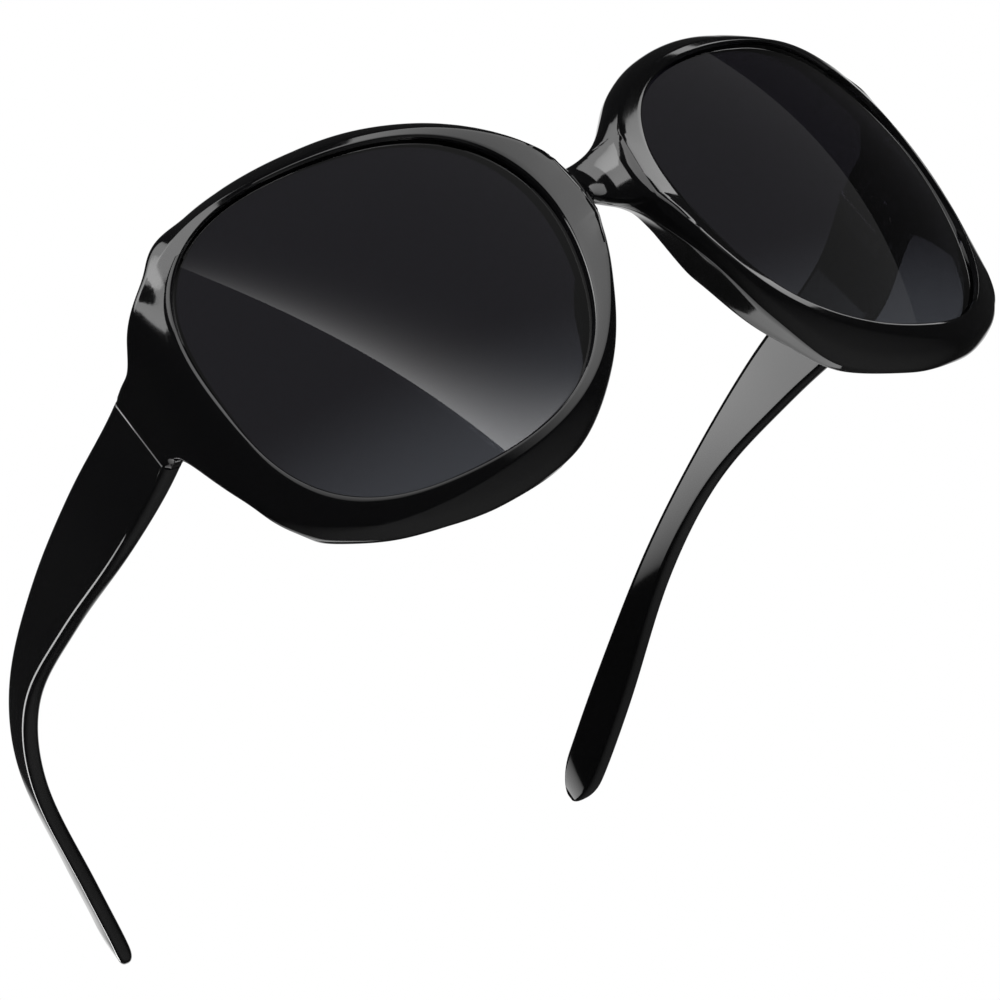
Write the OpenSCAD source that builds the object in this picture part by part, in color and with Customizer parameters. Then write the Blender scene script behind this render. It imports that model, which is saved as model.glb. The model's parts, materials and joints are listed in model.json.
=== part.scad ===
// Oversized sunglasses with one moulded front, two folding temples and barrel hinges.
// The front is drawn flat, in distances along its curve (u) and upwards (z), and then wrapped.
// The glasses stand open on their rims and temple tips, with the wearer's left at +X.

/* [Front] */
// Half of the width, over the outer faces of the end pieces
half_width = 74.8; // [72:0.2:78]
// Radius of the front's curve, seen from above
wrap_radius = 76; // [72:1:84]
// Radius of the front's curve, seen from the side
crown_radius = 94; // [85:1:110]
// Straight run of each end piece, from its turn to the seam
seam_run = 9.4; // [8.4:0.2:10.4]
// Thickness of the end pieces and of the temples at the seam
seam_thickness = 3.6; // [3.2:0.1:4.4]
// How far the rim's face stands over the lens
lip_height = 0.9; // [0.7:0.1:1.3]
// How much further the face rises beside the nose
nose_rise = 2.2; // [1.4:0.1:2.6]
// Depth of the rim behind the lens's front
rim_back = 3.4; // [3.2:0.1:4.2]
// How far the nose pads stand back from the rim
pad_depth = 5; // [3:0.2:5.4]
// How far the nose pads lean away from the nose
pad_flare = 1.6; // [0.8:0.1:2]
// Rounding of the front's outer edges
edge_radius = 1.2; // [0.8:0.1:1.4]
// Small bevel where the face meets the lens opening
face_bevel = 0.3; // [0.2:0.05:0.4]

/* [Lenses] */
// How far each lens opening reaches into the turn of the front
lens_reach = 1; // [0.4:0.1:1.4]
// Thickness of the lenses
lens_thickness = 2; // [1.6:0.1:2.2]
// Depth of the groove that holds each lens
groove_depth = 0.8; // [0.6:0.1:1]
// Space between each lens and the groove's floor
groove_clearance = 0.05; // [0.04:0.01:0.1]

/* [Temples] */
// Length of a temple from the seam to its tip
temple_length = 126.5; // [120:0.5:132]
// Height of a temple at the seam
temple_height = 15; // [14:0.2:16]
// Thickness of a temple along its arm
temple_thickness = 3; // [2.6:0.1:3.4]
// How far the tips bend inwards
tip_inset = 25.6; // [22:0.2:28]
// Slope of the temples from square to the front
temple_slope = 8.9; // [8:0.1:10]
// Gap at the seam while a temple is open
seam_gap = 0.12; // [0.1:0.01:0.2]

/* [Hinges] */
// Outer radius of the hinge barrels
barrel_radius = 1.45; // [1.4:0.05:1.6]
// Height of the hinge barrels
barrel_height = 9; // [8.5:0.1:9.5]
// Radius of the hinge screw's shank
screw_radius = 0.7; // [0.6:0.05:0.8]
// Space between the shank and the knuckles it runs in
screw_clearance = 0.05; // [0.03:0.01:0.08]
// Space between neighbouring knuckles
knuckle_gap = 0.06; // [0.04:0.01:0.1]
// Thickness of the hinge leaves
leaf_thickness = 0.9; // [0.8:0.05:1]
// Length of the hinge leaves beyond the barrel
leaf_length = 4.4; // [4.2:0.1:4.5]
// Radius of the shanks that fix the leaves
fixing_radius = 0.55; // [0.5:0.05:0.6]

/* [Hidden] */

// Shares of the half width: from the middle to where each side stands furthest forward, the radius
// of the turn into each end piece, and from the middle to each lens opening, along the curve
wrap_offset = half_width * 0.2968;
corner_radius = half_width * 0.1337;
lens_inset = half_width * 0.15575;

// Lens opening: radius at each of twelve even angles, from the outer side upwards
opening_shares = [1.084, 1.153, 1.006, 0.877, 0.935, 1.032, 0.968, 0.943, 0.923, 0.919, 1.028, 1.113];
// Rim width round the opening, as pairs of an angle and a share of rim_width
rim_width = 4.4;
brow_shares = [[150, 1.44], [140, 1.22], [124, 1.05], [99, 1.03], [64, 1.04], [45, 1.28], [33, 1.3]];
lower_shares = [[-22, 1.84], [-33, 1.86], [-45, 1.46], [-61, 1.24], [-86, 1.22], [-116, 1.3], [-140, 1.02],
    [-165, 1.02]];
// Width of the flat facet beside the lens at twelve even angles; a wide one has no crease
facet_width = 4.6;
facet_shares = [2, 1.6, 0.4, 0.26, 0.4, 0.98, 1.3, 0.7, 0.4, 0.5, 1.2, 1.9];
// Slope and curve of the face beyond the facet's crease
shoulder_slope = 0.55;
shoulder_radius = 6;
// Share added to the face's rounding at the lower outer corner, and the angles where it rises and falls
corner_swell = 0.8;
corner_run = [-75, -45, -32, -12];

// Bridge: half widths and heights of its creases, arch and top
bridge_half_width = 7.1;
bridge_lean = 0.7;
bridge_top = 15.1;
arch_slant = 0.85;
bridge_bottom = 4.3;
bridge_recess = 1.3;
arch_half_width = 4.7;
arch_foot = 0.3;
arch_share = 0.62;
shoulder_share = 0.62;
// The walls beside the sunken middle take this share of the recess, and end this far inside the creases
wall_share = 0.8;
wall_run = 0.46;
// Angles round the lens: where the face stands highest, and where the pads rise and fall
nose_side = 181;
pad_run = [181, 203, 210, 262];
// Least distance between a section's points
least_step = 0.1;

// How the glasses stand: leaning back from the front's own frame, and where its origin goes
stand_lean = 2.61;
stand_back = -73.8;
stand_up = 34.51;

// Hinge: axis inside the temple's inner face, and the leaves and rivets
leaf_clearance = 0.05;
leaf_end = barrel_radius + leaf_length;
rivet_y = barrel_radius + leaf_length / 2;
rivet_z = barrel_height / 4;
rivet_depth = 1.5;

detail = 4;
end_shares = [0, 0.04, 0.09, 0.16, 0.33, 0.5, 0.67, 0.84, 0.91, 0.96, 1];
overrun = 0.4;

// Angle of the front's curve to straight across, where the middle of the bridge and each turn are
nose_angle = asin(wrap_offset / wrap_radius);
turn_angle = asin((half_width - lip_height - wrap_offset - corner_radius) / (wrap_radius - corner_radius));
wrap_depth = wrap_radius * cos(nose_angle);
turn_u = arc_length(wrap_radius, turn_angle + nose_angle);
straight_u = turn_u + arc_length(corner_radius, 90 - turn_angle);
seam_u = straight_u + seam_run;
// Each lens opening lies between the nose and the turn; its mean radius and its centre follow
outer_share = opening_shares[0];
inner_share = opening_shares[len(opening_shares) / 2];
lens_radius = (turn_u + lens_reach - lens_inset) / (outer_share + inner_share);
lens_centre = lens_inset + inner_share * lens_radius;
seam_y = plan(seam_u)[1];
// The seam's middle stands this far over the lenses' centres
seam_z_share = 0.17;
seam_z = seam_z_share * lens_radius;

function arc_length(radius, angle) = radius * angle * PI / 180;
function ease(t) = let (c = min(1, max(0, t))) c * c * (3 - 2 * c);
function mix(a, b, t) = a + (b - a) * t;

// Value at any angle of a closed curve through even shares
function wave(t, n) = abs(sin(t / 2)) < 1e-6 ? 1 : sin(n * t / 2) / (n * tan(t / 2));
function round_share(shares, angle) =
    shares * [for (k = [0 : len(shares) - 1]) wave(angle - 360 * k / len(shares), len(shares))];

// Smooth curve through points, with the neighbours before and after its ends
function spline(a, b, c, d, t) =
    0.5 * (2 * b + (c - a) * t + (2 * a - 5 * b + 4 * c - d) * t * t + (3 * b - a - 3 * c + d) * t * t * t);
function smooth_curve(before, points, after) =
    let (all = concat([before], points, [after]))
    [for (k = [0 : len(points) - 2], i = [0 : detail - 1])
        spline(all[k], all[k + 1], all[k + 2], all[k + 3], i / detail)];

// The front's curve, seen from above
function arc_heading(u) = u / wrap_radius * 180 / PI - nose_angle;
function arc_point(u) =
    [wrap_offset + wrap_radius * sin(arc_heading(u)), wrap_depth - wrap_radius * cos(arc_heading(u))];
function heading(u) =
    u < bridge_half_width ? atan(tan(arc_heading(bridge_half_width)) * u / bridge_half_width)
    : u < turn_u ? arc_heading(u)
    : min(90, turn_angle + (u - turn_u) / corner_radius * 180 / PI);
function bridge_point(u) =
    let (side = arc_point(bridge_half_width), t = u / bridge_half_width)
    [side[0] * t, side[1] + tan(arc_heading(bridge_half_width)) * side[0] / 2 * (t * t - 1)];
function corner_point(u) =
    let (a = heading(u))
    arc_point(turn_u) + corner_radius * [sin(a) - sin(turn_angle), cos(turn_angle) - cos(a)]
    + [0, max(0, u - straight_u)];
function plan(u) = u < bridge_half_width ? bridge_point(u) : u < turn_u ? arc_point(u) : corner_point(u);
function crown(u, z) = (1 - ease((u - turn_u) / (straight_u - turn_u))) * z * z / (2 * crown_radius);
function slant(p, n) =
    arch_slant * max(0, -n) * ease(2 - p[0] / bridge_half_width * 1.4) * min(1, max(0, 1 - p[1] / bridge_top));
function wrap(p, n) =
    let (h = n - crown(p[0], p[1]), a = heading(p[0]), q = plan(p[0]))
    [q[0] + h * sin(a), q[1] - h * cos(a), p[1] + slant(p, n)];

// Outlines on the flat front
function round_lens(angle, extra) =
    [lens_centre, 0] + (lens_radius * round_share(opening_shares, angle) + extra) * [cos(angle), sin(angle)];
function seam_point(t) =
    [seam_u, seam_z] + temple_height * (0.5 - t) * [sin(temple_slope), cos(temple_slope)];
function end_piece(back, up) =
    seam_point(up > 0 ? 0 : 1) + back * [-cos(temple_slope), sin(temple_slope)] + [0, up];
brow_points = concat([[0, bridge_top], [bridge_half_width * shoulder_share, bridge_top + bridge_lean / 4]],
    [for (s = brow_shares) round_lens(s[0], rim_width * s[1])],
    [end_piece(temple_height / 2, rim_width / 40), end_piece(temple_height / 4, rim_width / 40),
        seam_point(0)]);
lower_points = concat([seam_point(1), end_piece(temple_height / 6, -rim_width / 12),
        end_piece(temple_height * 0.38, -rim_width)],
    [for (s = lower_shares) round_lens(s[0], rim_width * s[1])],
    [[arch_half_width, arch_foot], [arch_half_width * arch_share, mix(arch_foot, bridge_bottom, arch_share)],
        [0, bridge_bottom]]);
brow_curve = smooth_curve([-brow_points[1][0], brow_points[1][1]], brow_points, seam_point(0) * 2
    - end_piece(temple_height / 4, rim_width / 40));
lower_curve = smooth_curve(seam_point(1) * 2 - end_piece(temple_height / 6, 0), lower_points,
    [-lower_points[len(lower_points) - 2][0], lower_points[len(lower_points) - 2][1]]);
seam_curve = [for (t = end_shares) if (t < 1) seam_point(t)];
bridge_curve = [for (t = end_shares) if (t < 1) [0, mix(bridge_bottom, bridge_top, t)]];
outline = concat(brow_curve, seam_curve, lower_curve, bridge_curve);
brow_edge = concat(brow_curve, [seam_point(0)]);
lower_edge = concat(lower_curve, [[0, bridge_bottom]]);
bridge_start = len(outline) - len(bridge_curve);

// Distance from a point to an open line of points
function to_segment(p, a, b) =
    let (ab = b - a, t = min(1, max(0, (p - a) * ab / (ab * ab)))) norm(p - a - t * ab);
function to_line(p, line) = min([for (k = [0 : len(line) - 2]) to_segment(p, line[k], line[k + 1])]);
function to_edge(p) = min(to_line(p, brow_edge), to_line(p, lower_edge));

// Angle round the lens that each point of the outline is joined to
function outline_angle(k) =
    let (p = outline[k] - [lens_centre, 0], a = atan2(p[1], p[0]))
    k > len(brow_curve) + len(seam_curve) && a > 90 ? a - 360 : a;
function joined_angle(k) =
    mix(outline_angle(k), outline_angle(0) - 360 * k / len(outline), 0.25);

// Face and back of the front, as heights over the lens's front
function bump(angle, middle, power) = pow((1 + cos(angle - middle)) / 2, power);
function facet_at(angle) = facet_width * max(0.25, round_share(facet_shares, angle));
function edge_drop(d, radius) = d >= radius ? 0 : radius - sqrt(max(0, radius * radius - pow(radius - d, 2)));
function bridge_side(z) = bridge_half_width + bridge_lean * (2 * z / bridge_top - 1);
function bridge_fall(inward) =
    inward < wall_run ? wall_share * inward / wall_run
    : 1 - (1 - wall_share) * pow((1 - inward) / (1 - wall_run), 2);
function rise_fall(angle, run) =
    ease((angle - run[0]) / (run[1] - run[0])) * ease((run[3] - angle) / (run[3] - run[2]));
function face_radius(angle) = edge_radius * (1 + corner_swell * rise_fall(angle, corner_run));
// How far the face has fallen beyond the facet's crease; squash takes the joint's obliqueness out
function shoulder(p, angle, d, squash) =
    let (beyond = max(0, d - facet_at(angle)) * squash * (1 - ease(1 - (turn_u - p[0]) / corner_radius)))
    shoulder_slope * beyond + beyond * beyond / (2 * shoulder_radius);
function face_height(p, angle, d, squash) =
    let (
        inward = max(0, 1 - p[0] / bridge_side(p[1])),
        run = min(d, facet_width))
    lip_height + nose_rise * bump(angle, nose_side, 3) * run / facet_width
    - bridge_recess * bridge_fall(inward)
    - max(0, face_bevel - d) - shoulder(p, angle, d, squash)
    - edge_drop(to_edge(p), face_radius(angle));
function full_turn(angle) = angle < 0 ? angle + 360 : angle;
function pad_height(p, angle) = rise_fall(full_turn(angle), pad_run) * ease(p[0] / arch_half_width);
// The back follows the face wherever the face falls by more than the rim's depth allows
function back_height(p, angle, d, squash) =
    mix(-rim_back, lip_height - seam_thickness, ease((p[0] - turn_u) / (straight_u - turn_u)))
    - max(0, shoulder(p, angle, d, squash) + face_radius(angle) + edge_radius * 1.25 - lip_height - rim_back)
    - pad_depth * pad_height(p, angle) * ease(d / rim_width * 1.6 - 0.15)
    + edge_drop(to_edge(p), edge_radius);

// One cross-section of the front, from the lens out over the face and back inside
round_shares = [0, 0.3, 0.62, 0.88, 1];
function crossing(p, lens_edge, share) =
    let (
        a = lens_edge[0] - share * bridge_side(lens_edge[1]),
        b = p[0] - share * bridge_side(p[1]))
    norm(p - lens_edge) * (b < 0 ? a / (a - b) : 1);
function section(k) =
    let (
        angle = joined_angle(k),
        lens_edge = round_lens(angle, 0),
        floor_edge = round_lens(angle, groove_depth),
        whole = norm(outline[k] - lens_edge),
        out = (outline[k] - lens_edge) / whole,
        own = outline[k] - [lens_centre, 0],
        own_radius = lens_radius * round_share(opening_shares, atan2(own[1], own[0])),
        squash = min(1, (norm(own) - own_radius) / whole),
        radius = face_radius(angle),
        crease = max(face_bevel + least_step, min(facet_at(angle), crossing(outline[k], lens_edge, 1),
            whole - radius - least_step)),
        start = max(crease + least_step, whole - radius),
        foot = crossing(outline[k], lens_edge, 1 - wall_run),
        fold = foot < start ? max(foot, crease + least_step) : (crease + start) / 2,
        runs = concat([0, face_bevel, crease, fold],
            [for (s = round_shares) mix(start, whole, s)]),
        lean = pad_flare * pad_height(outline[k], angle),
        heel = whole - lean,
        back_start = heel - edge_radius,
        back_runs = concat([for (s = round_shares) mix(heel, back_start, s)], [back_start / 2, 0]),
        face = [for (d = runs) let (p = lens_edge + d * out) [p, face_height(p, angle, d, squash)]],
        rear = [for (d = back_runs) let (p = lens_edge + d * out)
            let (q = d + lean < whole ? p + min(lean, whole - d) * out : outline[k])
            [p, back_height(q, angle, d, squash)]],
        groove = lens_thickness + 2 * groove_clearance)
    concat([for (q = face) wrap(q[0], q[1])],
        [wrap(outline[k], (face[len(face) - 1][1] + rear[0][1]) / 2)],
        [for (q = rear) wrap(q[0], q[1])],
        [wrap(lens_edge, -groove), wrap(floor_edge, -groove), wrap(floor_edge, 0), wrap(lens_edge, 0)]);

// Two triangles for each four-sided patch between rings of points
function patch(a, b, c, d) = [[a, c, b], [a, d, c]];
function ring_faces(rings, count, skip_from, skip_wall) = [
    for (k = [0 : rings - 1], j = [0 : count - 1])
        if (k < skip_from || j < skip_wall[0] || j > skip_wall[1])
            for (f = patch(k * count + j, ((k + 1) % rings) * count + j,
                ((k + 1) % rings) * count + (j + 1) % count, k * count + (j + 1) % count)) f];

// Places on the glasses: standing on the table, and at a hinge's seam
module standing() {
    translate([0, stand_back, stand_up]) rotate([-stand_lean, 0, 0]) children();
}
module on_side(side) {
    if (side > 0) children(); else mirror([1, 0, 0]) children();
}
module at_seam(side) {
    standing() on_side(side) translate([half_width, seam_y, seam_z]) rotate([-temple_slope, 0, 0]) children();
}

// One half of a hinge's pockets and rivet holes, cut into the plastic that carries it
module leaf_space(way) {
    translate([-seam_thickness - overrun, 0, 0]) {
        translate([0, way > 0 ? -overrun : -leaf_end - leaf_clearance, -barrel_height / 2 - leaf_clearance])
            cube([leaf_thickness + overrun, leaf_end + leaf_clearance + overrun,
                barrel_height + 2 * leaf_clearance]);
        for (z = [-1, 1])
            translate([0, way * rivet_y, z * rivet_z]) rotate([0, 90, 0])
                cylinder(r = fixing_radius + leaf_clearance, h = leaf_thickness + overrun + rivet_depth, $fn = 32);
    }
}

module front_body() {
    half = [for (k = [0 : len(outline) - 1]) section(k)];
    count = len(half[0]);
    face_count = 4 + len(round_shares);
    points = [for (ring = half) each ring];
    faces = ring_faces(len(half), count, bridge_start, [face_count - 1, face_count]);
    polyhedron(
        points = concat(points, [for (p = points) [-p[0], p[1], p[2]]]),
        faces = concat(faces, [for (f = faces) [for (i = [2 : -1 : 0]) f[i] + len(points)]]));
}
module front_frame() {
    color("#101012") difference() {
        standing() front_body();
        for (side = [-1, 1]) at_seam(side) leaf_space(-1);
    }
}

// A lens: rings of points on its front and back, closed over its edge
ring_shares = [0.4, 0.75, 1];
lens_turns = 72;
module lens(side) {
    edge = groove_depth - groove_clearance;
    rings = [for (s = ring_shares) [for (k = [0 : lens_turns - 1])
        mix([lens_centre, 0], round_lens(360 * k / lens_turns, edge), s)]];
    front = [for (ring = rings) [for (p = ring) wrap(p, -groove_clearance)]];
    rear = [for (i = [len(rings) - 1 : -1 : 0]) [for (p = rings[i]) wrap(p, -groove_clearance - lens_thickness)]];
    loops = concat(front, rear);
    points = concat([for (ring = loops) each ring], [wrap([lens_centre, 0], -groove_clearance),
        wrap([lens_centre, 0], -groove_clearance - lens_thickness)]);
    last = len(loops) * lens_turns;
    faces = [for (k = [0 : lens_turns - 1]) let (n = (k + 1) % lens_turns)
        each concat(
            [for (j = [0 : len(loops) - 2])
                each patch(j * lens_turns + n, j * lens_turns + k, (j + 1) * lens_turns + k, (j + 1) * lens_turns + n)],
            [[last, n, k], [last + 1, last - lens_turns + k, last - lens_turns + n]])];
    color("#2a2d33") standing() on_side(side) polyhedron(points, faces);
}
module lens_right() lens(-1);
module lens_left() lens(1);

// Temple stations: share of the length, then inset, top and bottom as shares of tip_inset and height
temple_shares = [[0, 0, 0.5, -0.5], [0.16, -0.09, 0.54, -0.44], [0.36, -0.005, 0.74, 0.01],
    [0.555, 0.11, 0.77, 0.34], [0.715, 0.32, 0.56, 0.15], [0.857, 0.66, 0.04, -0.5],
    [0.953, 0.9, -0.37, -0.9], [1, 1, -0.56, -0.98]];
tip_run = 5.6;
before_shares = [-0.16, -0.06, 0.5, -0.5];
after_shares = [1.05, 1.1, -0.72, -1.08];
temple_curve = smooth_curve(before_shares, temple_shares, after_shares);
corner_steps = 3;
function thickness_at(t) = mix(seam_thickness, temple_thickness, ease(t * 4));
function temple_ring(c, t, squeeze) =
    let (
        w = thickness_at(t) / 2 * squeeze,
        top = c[2] * temple_height,
        bottom = c[3] * temple_height,
        h = (top - bottom) / 2 * squeeze,
        r = min(edge_radius * squeeze, w * 0.9, h * 0.9),
        x = -c[1] * tip_inset - thickness_at(t) / 2,
        z = (top + bottom) / 2)
    [for (q = [0 : 3], i = [0 : corner_steps])
        let (a = 90 * (q + i / corner_steps))
        [x + (q == 0 || q == 3 ? w - r : r - w) + r * cos(a), c[0] * temple_length,
            z + (q < 2 ? h - r : r - h) + r * sin(a)]];
module temple_body() {
    tip_turns = [15, 30, 45, 58, 70, 80];
    tip_start = 1 - tip_run / temple_length;
    body = [for (c = temple_curve) if (c[0] < tip_start - 0.01) temple_ring(c, c[0], 1)];
    last = len(temple_shares) - 1;
    tip = [for (a = tip_turns) let (
        s = tip_start + (1 - tip_start) * sin(a),
        t = (s - temple_shares[last - 1][0]) / (1 - temple_shares[last - 1][0]),
        c = spline(temple_shares[last - 2], temple_shares[last - 1], temple_shares[last], after_shares, t))
        temple_ring(c, c[0], cos(a))];
    rings = concat(body, tip);
    count = len(rings[0]);
    points = [for (ring = rings) for (p = ring) p[1] == 0 ? p + [0, seam_gap, 0] : p];
    faces = concat([for (k = [0 : len(rings) - 2], j = [0 : count - 1])
        each patch(k * count + j, (k + 1) * count + j, (k + 1) * count + (j + 1) % count,
            k * count + (j + 1) % count)],
        [[for (j = [count - 1 : -1 : 0]) j]],
        [[for (j = [0 : count - 1]) (len(rings) - 1) * count + j]]);
    polyhedron(points, faces);
}
module temple(side) {
    color("#101012") at_seam(side) difference() {
        temple_body();
        leaf_space(1);
    }
}
module temple_right() temple(-1);
module temple_left() temple(1);

// Hinge: five knuckles on one axis, three on the front's leaf and two on the temple's
axis_x = -seam_thickness - barrel_radius - knuckle_gap * 2;
knuckle_height = (barrel_height - 4 * knuckle_gap) / 5;
bore_radius = screw_radius + screw_clearance;
module knuckle(way, k) {
    leg_x = -seam_thickness + leaf_thickness;
    translate([0, 0, -barrel_height / 2 + k * (knuckle_height + knuckle_gap)]) {
        translate([axis_x, 0, 0]) cylinder(r = barrel_radius, h = knuckle_height, $fn = 48);
        translate([axis_x, way > 0 ? seam_gap : -barrel_radius, 0])
            cube([leg_x - axis_x, barrel_radius - seam_gap, knuckle_height]);
    }
}
module hinge_half(way, knuckles) {
    difference() {
        union() {
            translate([-seam_thickness, way > 0 ? seam_gap : -leaf_end, -barrel_height / 2])
                cube([leaf_thickness, leaf_end - seam_gap, barrel_height]);
            for (k = knuckles) knuckle(way, k);
        }
        translate([axis_x, 0, -barrel_height / 2 - overrun])
            cylinder(r = bore_radius, h = barrel_height + 2 * overrun, $fn = 32);
        for (z = [-1, 1])
            translate([-seam_thickness - overrun, way * rivet_y, z * rivet_z]) rotate([0, 90, 0])
                cylinder(r = fixing_radius + leaf_clearance, h = leaf_thickness + 2 * overrun, $fn = 32);
    }
}
module front_hinge(side) {
    color("#b9bcc0") at_seam(side) hinge_half(-1, [0, 2, 4]);
}
module temple_hinge(side) {
    color("#b9bcc0") at_seam(side) hinge_half(1, [1, 3]);
}
module front_hinge_right() front_hinge(-1);
module front_hinge_left() front_hinge(1);
module temple_hinge_right() temple_hinge(-1);
module temple_hinge_left() temple_hinge(1);

// Screw: a slotted head seated on the barrel's top and a shank with a chamfered end
head_radius = barrel_radius * 0.86;
head_height = screw_radius;
slot_width = screw_radius * 0.5;
module hinge_screw(side) {
    top = barrel_height / 2;
    chamfer = screw_radius * 0.3;
    color("#c9cbce") at_seam(side) translate([axis_x, 0, 0]) difference() {
        rotate_extrude($fn = 48) polygon([[0, -top], [screw_radius - chamfer, -top],
            [screw_radius, chamfer - top], [screw_radius, top], [head_radius, top],
            [head_radius, top + head_height - chamfer], [head_radius - chamfer, top + head_height],
            [0, top + head_height]]);
        translate([-head_radius - overrun, -slot_width / 2, top + head_height / 2])
            cube([2 * (head_radius + overrun), slot_width, head_height]);
    }
}
module hinge_screw_right() hinge_screw(-1);
module hinge_screw_left() hinge_screw(1);

// Rivets: a domed head on the leaf and a shank in the plastic
rivet_head = fixing_radius * 1.9;
rivet_dome = fixing_radius * 0.8;
module rivets(side, way) {
    dome_radius = (rivet_head * rivet_head + rivet_dome * rivet_dome) / (2 * rivet_dome);
    color("#c9cbce") at_seam(side)
        for (z = [-1, 1]) translate([-seam_thickness, way * rivet_y, z * rivet_z]) rotate([0, 90, 0]) {
            cylinder(r = fixing_radius, h = leaf_thickness + rivet_depth, $fn = 32);
            rotate_extrude($fn = 48) polygon(concat([[0, 0]],
                [for (i = [0 : 6]) let (a = asin(rivet_head / dome_radius) * (1 - i / 6))
                    [dome_radius * sin(a), dome_radius - rivet_dome - dome_radius * cos(a)]]));
        }
}
module front_hinge_rivets_right() rivets(-1, -1);
module front_hinge_rivets_left() rivets(1, -1);
module temple_hinge_rivets_right() rivets(-1, 1);
module temple_hinge_rivets_left() rivets(1, 1);

front_frame();
lens_right();
lens_left();
temple_right();
temple_left();
front_hinge_right();
front_hinge_left();
temple_hinge_right();
temple_hinge_left();
hinge_screw_right();
hinge_screw_left();
front_hinge_rivets_right();
front_hinge_rivets_left();
temple_hinge_rivets_right();
temple_hinge_rivets_left();
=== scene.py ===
"""Oversized sunglasses, dressed for the studio.

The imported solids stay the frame. The moulded front, the lenses and the temples are drawn again with
fine surfaces from the same sizes, the hinges keep their solids and get a finish, and the screws and
rivets are turned with Geometry Nodes.
"""
import json
import math

import bmesh
import bpy
import numpy as np
from mathutils import Matrix, Vector

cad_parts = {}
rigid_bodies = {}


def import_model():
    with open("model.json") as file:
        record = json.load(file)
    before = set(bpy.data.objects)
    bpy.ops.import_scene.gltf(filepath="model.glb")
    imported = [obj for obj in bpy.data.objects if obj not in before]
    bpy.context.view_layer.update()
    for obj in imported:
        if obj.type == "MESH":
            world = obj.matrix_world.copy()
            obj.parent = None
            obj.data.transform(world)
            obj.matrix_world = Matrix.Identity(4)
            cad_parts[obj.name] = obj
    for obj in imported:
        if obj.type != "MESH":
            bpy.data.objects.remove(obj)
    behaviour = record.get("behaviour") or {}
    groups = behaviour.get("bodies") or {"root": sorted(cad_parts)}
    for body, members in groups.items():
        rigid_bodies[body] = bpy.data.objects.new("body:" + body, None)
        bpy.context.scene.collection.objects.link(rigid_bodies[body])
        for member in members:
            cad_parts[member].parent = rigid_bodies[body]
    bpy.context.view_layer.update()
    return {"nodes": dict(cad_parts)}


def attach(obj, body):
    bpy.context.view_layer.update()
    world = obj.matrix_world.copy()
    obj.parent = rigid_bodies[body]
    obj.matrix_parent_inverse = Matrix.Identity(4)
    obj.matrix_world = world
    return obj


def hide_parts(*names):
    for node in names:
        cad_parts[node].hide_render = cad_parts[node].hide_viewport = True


bl_info = {
    "name": "Oversized sunglasses",
    "version": (1, 0, 0),
    "blender": (4, 5, 0),
    "location": "3D View > Sidebar > Sunglasses",
    "description": "Dresses the packed sunglasses: front, lenses, temples, hinges and studio",
    "category": "Object",
}

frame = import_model()
MM = 0.001

# Outlines on the flat front, as shares of the sizes below; the same tables shape the solids. The brow and
# the lower edge pair an angle about the lens with a share of the rim's width
OPENING_SHARES = (1.084, 1.153, 1.006, 0.877, 0.935, 1.032, 0.968, 0.943, 0.923, 0.919, 1.028, 1.113)
BROW_SHARES = ((150, 1.44), (140, 1.22), (124, 1.05), (99, 1.03), (64, 1.04), (45, 1.28), (33, 1.3))
LOWER_SHARES = ((-22, 1.84), (-33, 1.86), (-45, 1.46), (-61, 1.24), (-86, 1.22), (-116, 1.3), (-140, 1.02),
                (-165, 1.02))
FACET_SHARES = (2, 1.6, 0.4, 0.26, 0.4, 0.98, 1.3, 0.7, 0.4, 0.5, 1.2, 1.9)
END_SHARES = (0, 0.04, 0.09, 0.16, 0.33, 0.5, 0.67, 0.84, 0.91, 0.96, 1)
# Stations of the temples: shares of the length, of the tip's inset, and of the height for both edges
TEMPLE_SHARES = ((0, 0, 0.5, -0.5), (0.16, -0.09, 0.54, -0.44), (0.36, -0.005, 0.74, 0.01),
                 (0.555, 0.11, 0.77, 0.34), (0.715, 0.32, 0.56, 0.15), (0.857, 0.66, 0.04, -0.5),
                 (0.953, 0.9, -0.37, -0.9), (1, 1, -0.56, -0.98))
TEMPLE_BEFORE = (-0.16, -0.06, 0.5, -0.5)
TEMPLE_AFTER = (1.05, 1.1, -0.72, -1.08)
# Second points of the bridge's and the arch's edge, as a share of the way out from the middle
KNEE_SHARE = 0.62
# Points of the end piece before the seam: share of its height back from it, share of the rim's width up
END_TOP_SHARES = ((1 / 2, 1 / 40), (1 / 4, 1 / 40))
END_FOOT_SHARES = ((1 / 6, -1 / 12), (0.38, -1))
# Height of the seam's middle over the lens centres, as a share of the lens's radius
SEAM_HEIGHT_SHARE = 0.17
# How much the joining angles follow the stations instead of the way to the lens centre
STATION_SHARE = 0.25
# Fine outline in millimetres and points: spacing, points to a stretch, evening past the middle
OUTLINE_SPACING = 0.55
OUTLINE_STEPS = 16
MIRROR_RUN = 24
MIRROR_ROUNDS = 10
# Eased turn in millimetres: spacing and spread of its table, where it starts beyond the bridge, and how far
# it reaches past the seam
TURN_STEP = 0.05
TURN_SPREAD = 1.3
TURN_START = 5
TURN_REACH = 10
# Slope at which the bridge's two halves meet, seen from above, before the rounding eases it to nothing
BRIDGE_SLOPE = 1.15
# The arch's back slants up by this share of its depth; the run says how soon this fades across the bridge
SLANT_SHARE = 0.85
SLANT_RUN = 1.4
# Share added to the edge's rounding at the lower outer corner, over these degrees: start and run in, end and
# run out
CORNER_SWELL = 0.8
CORNER_SPAN = (-75, 30, -12, 20)
# Degrees of the nose pads in the same way, the angle where the face stands highest beside the nose, and how
# soon the pads rise across the rim
PAD_SPAN = (181, 22, 262, 52)
NOSE_ANGLE = 181
PAD_RAMP = 1.6
PAD_RAMP_START = 0.15
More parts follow.
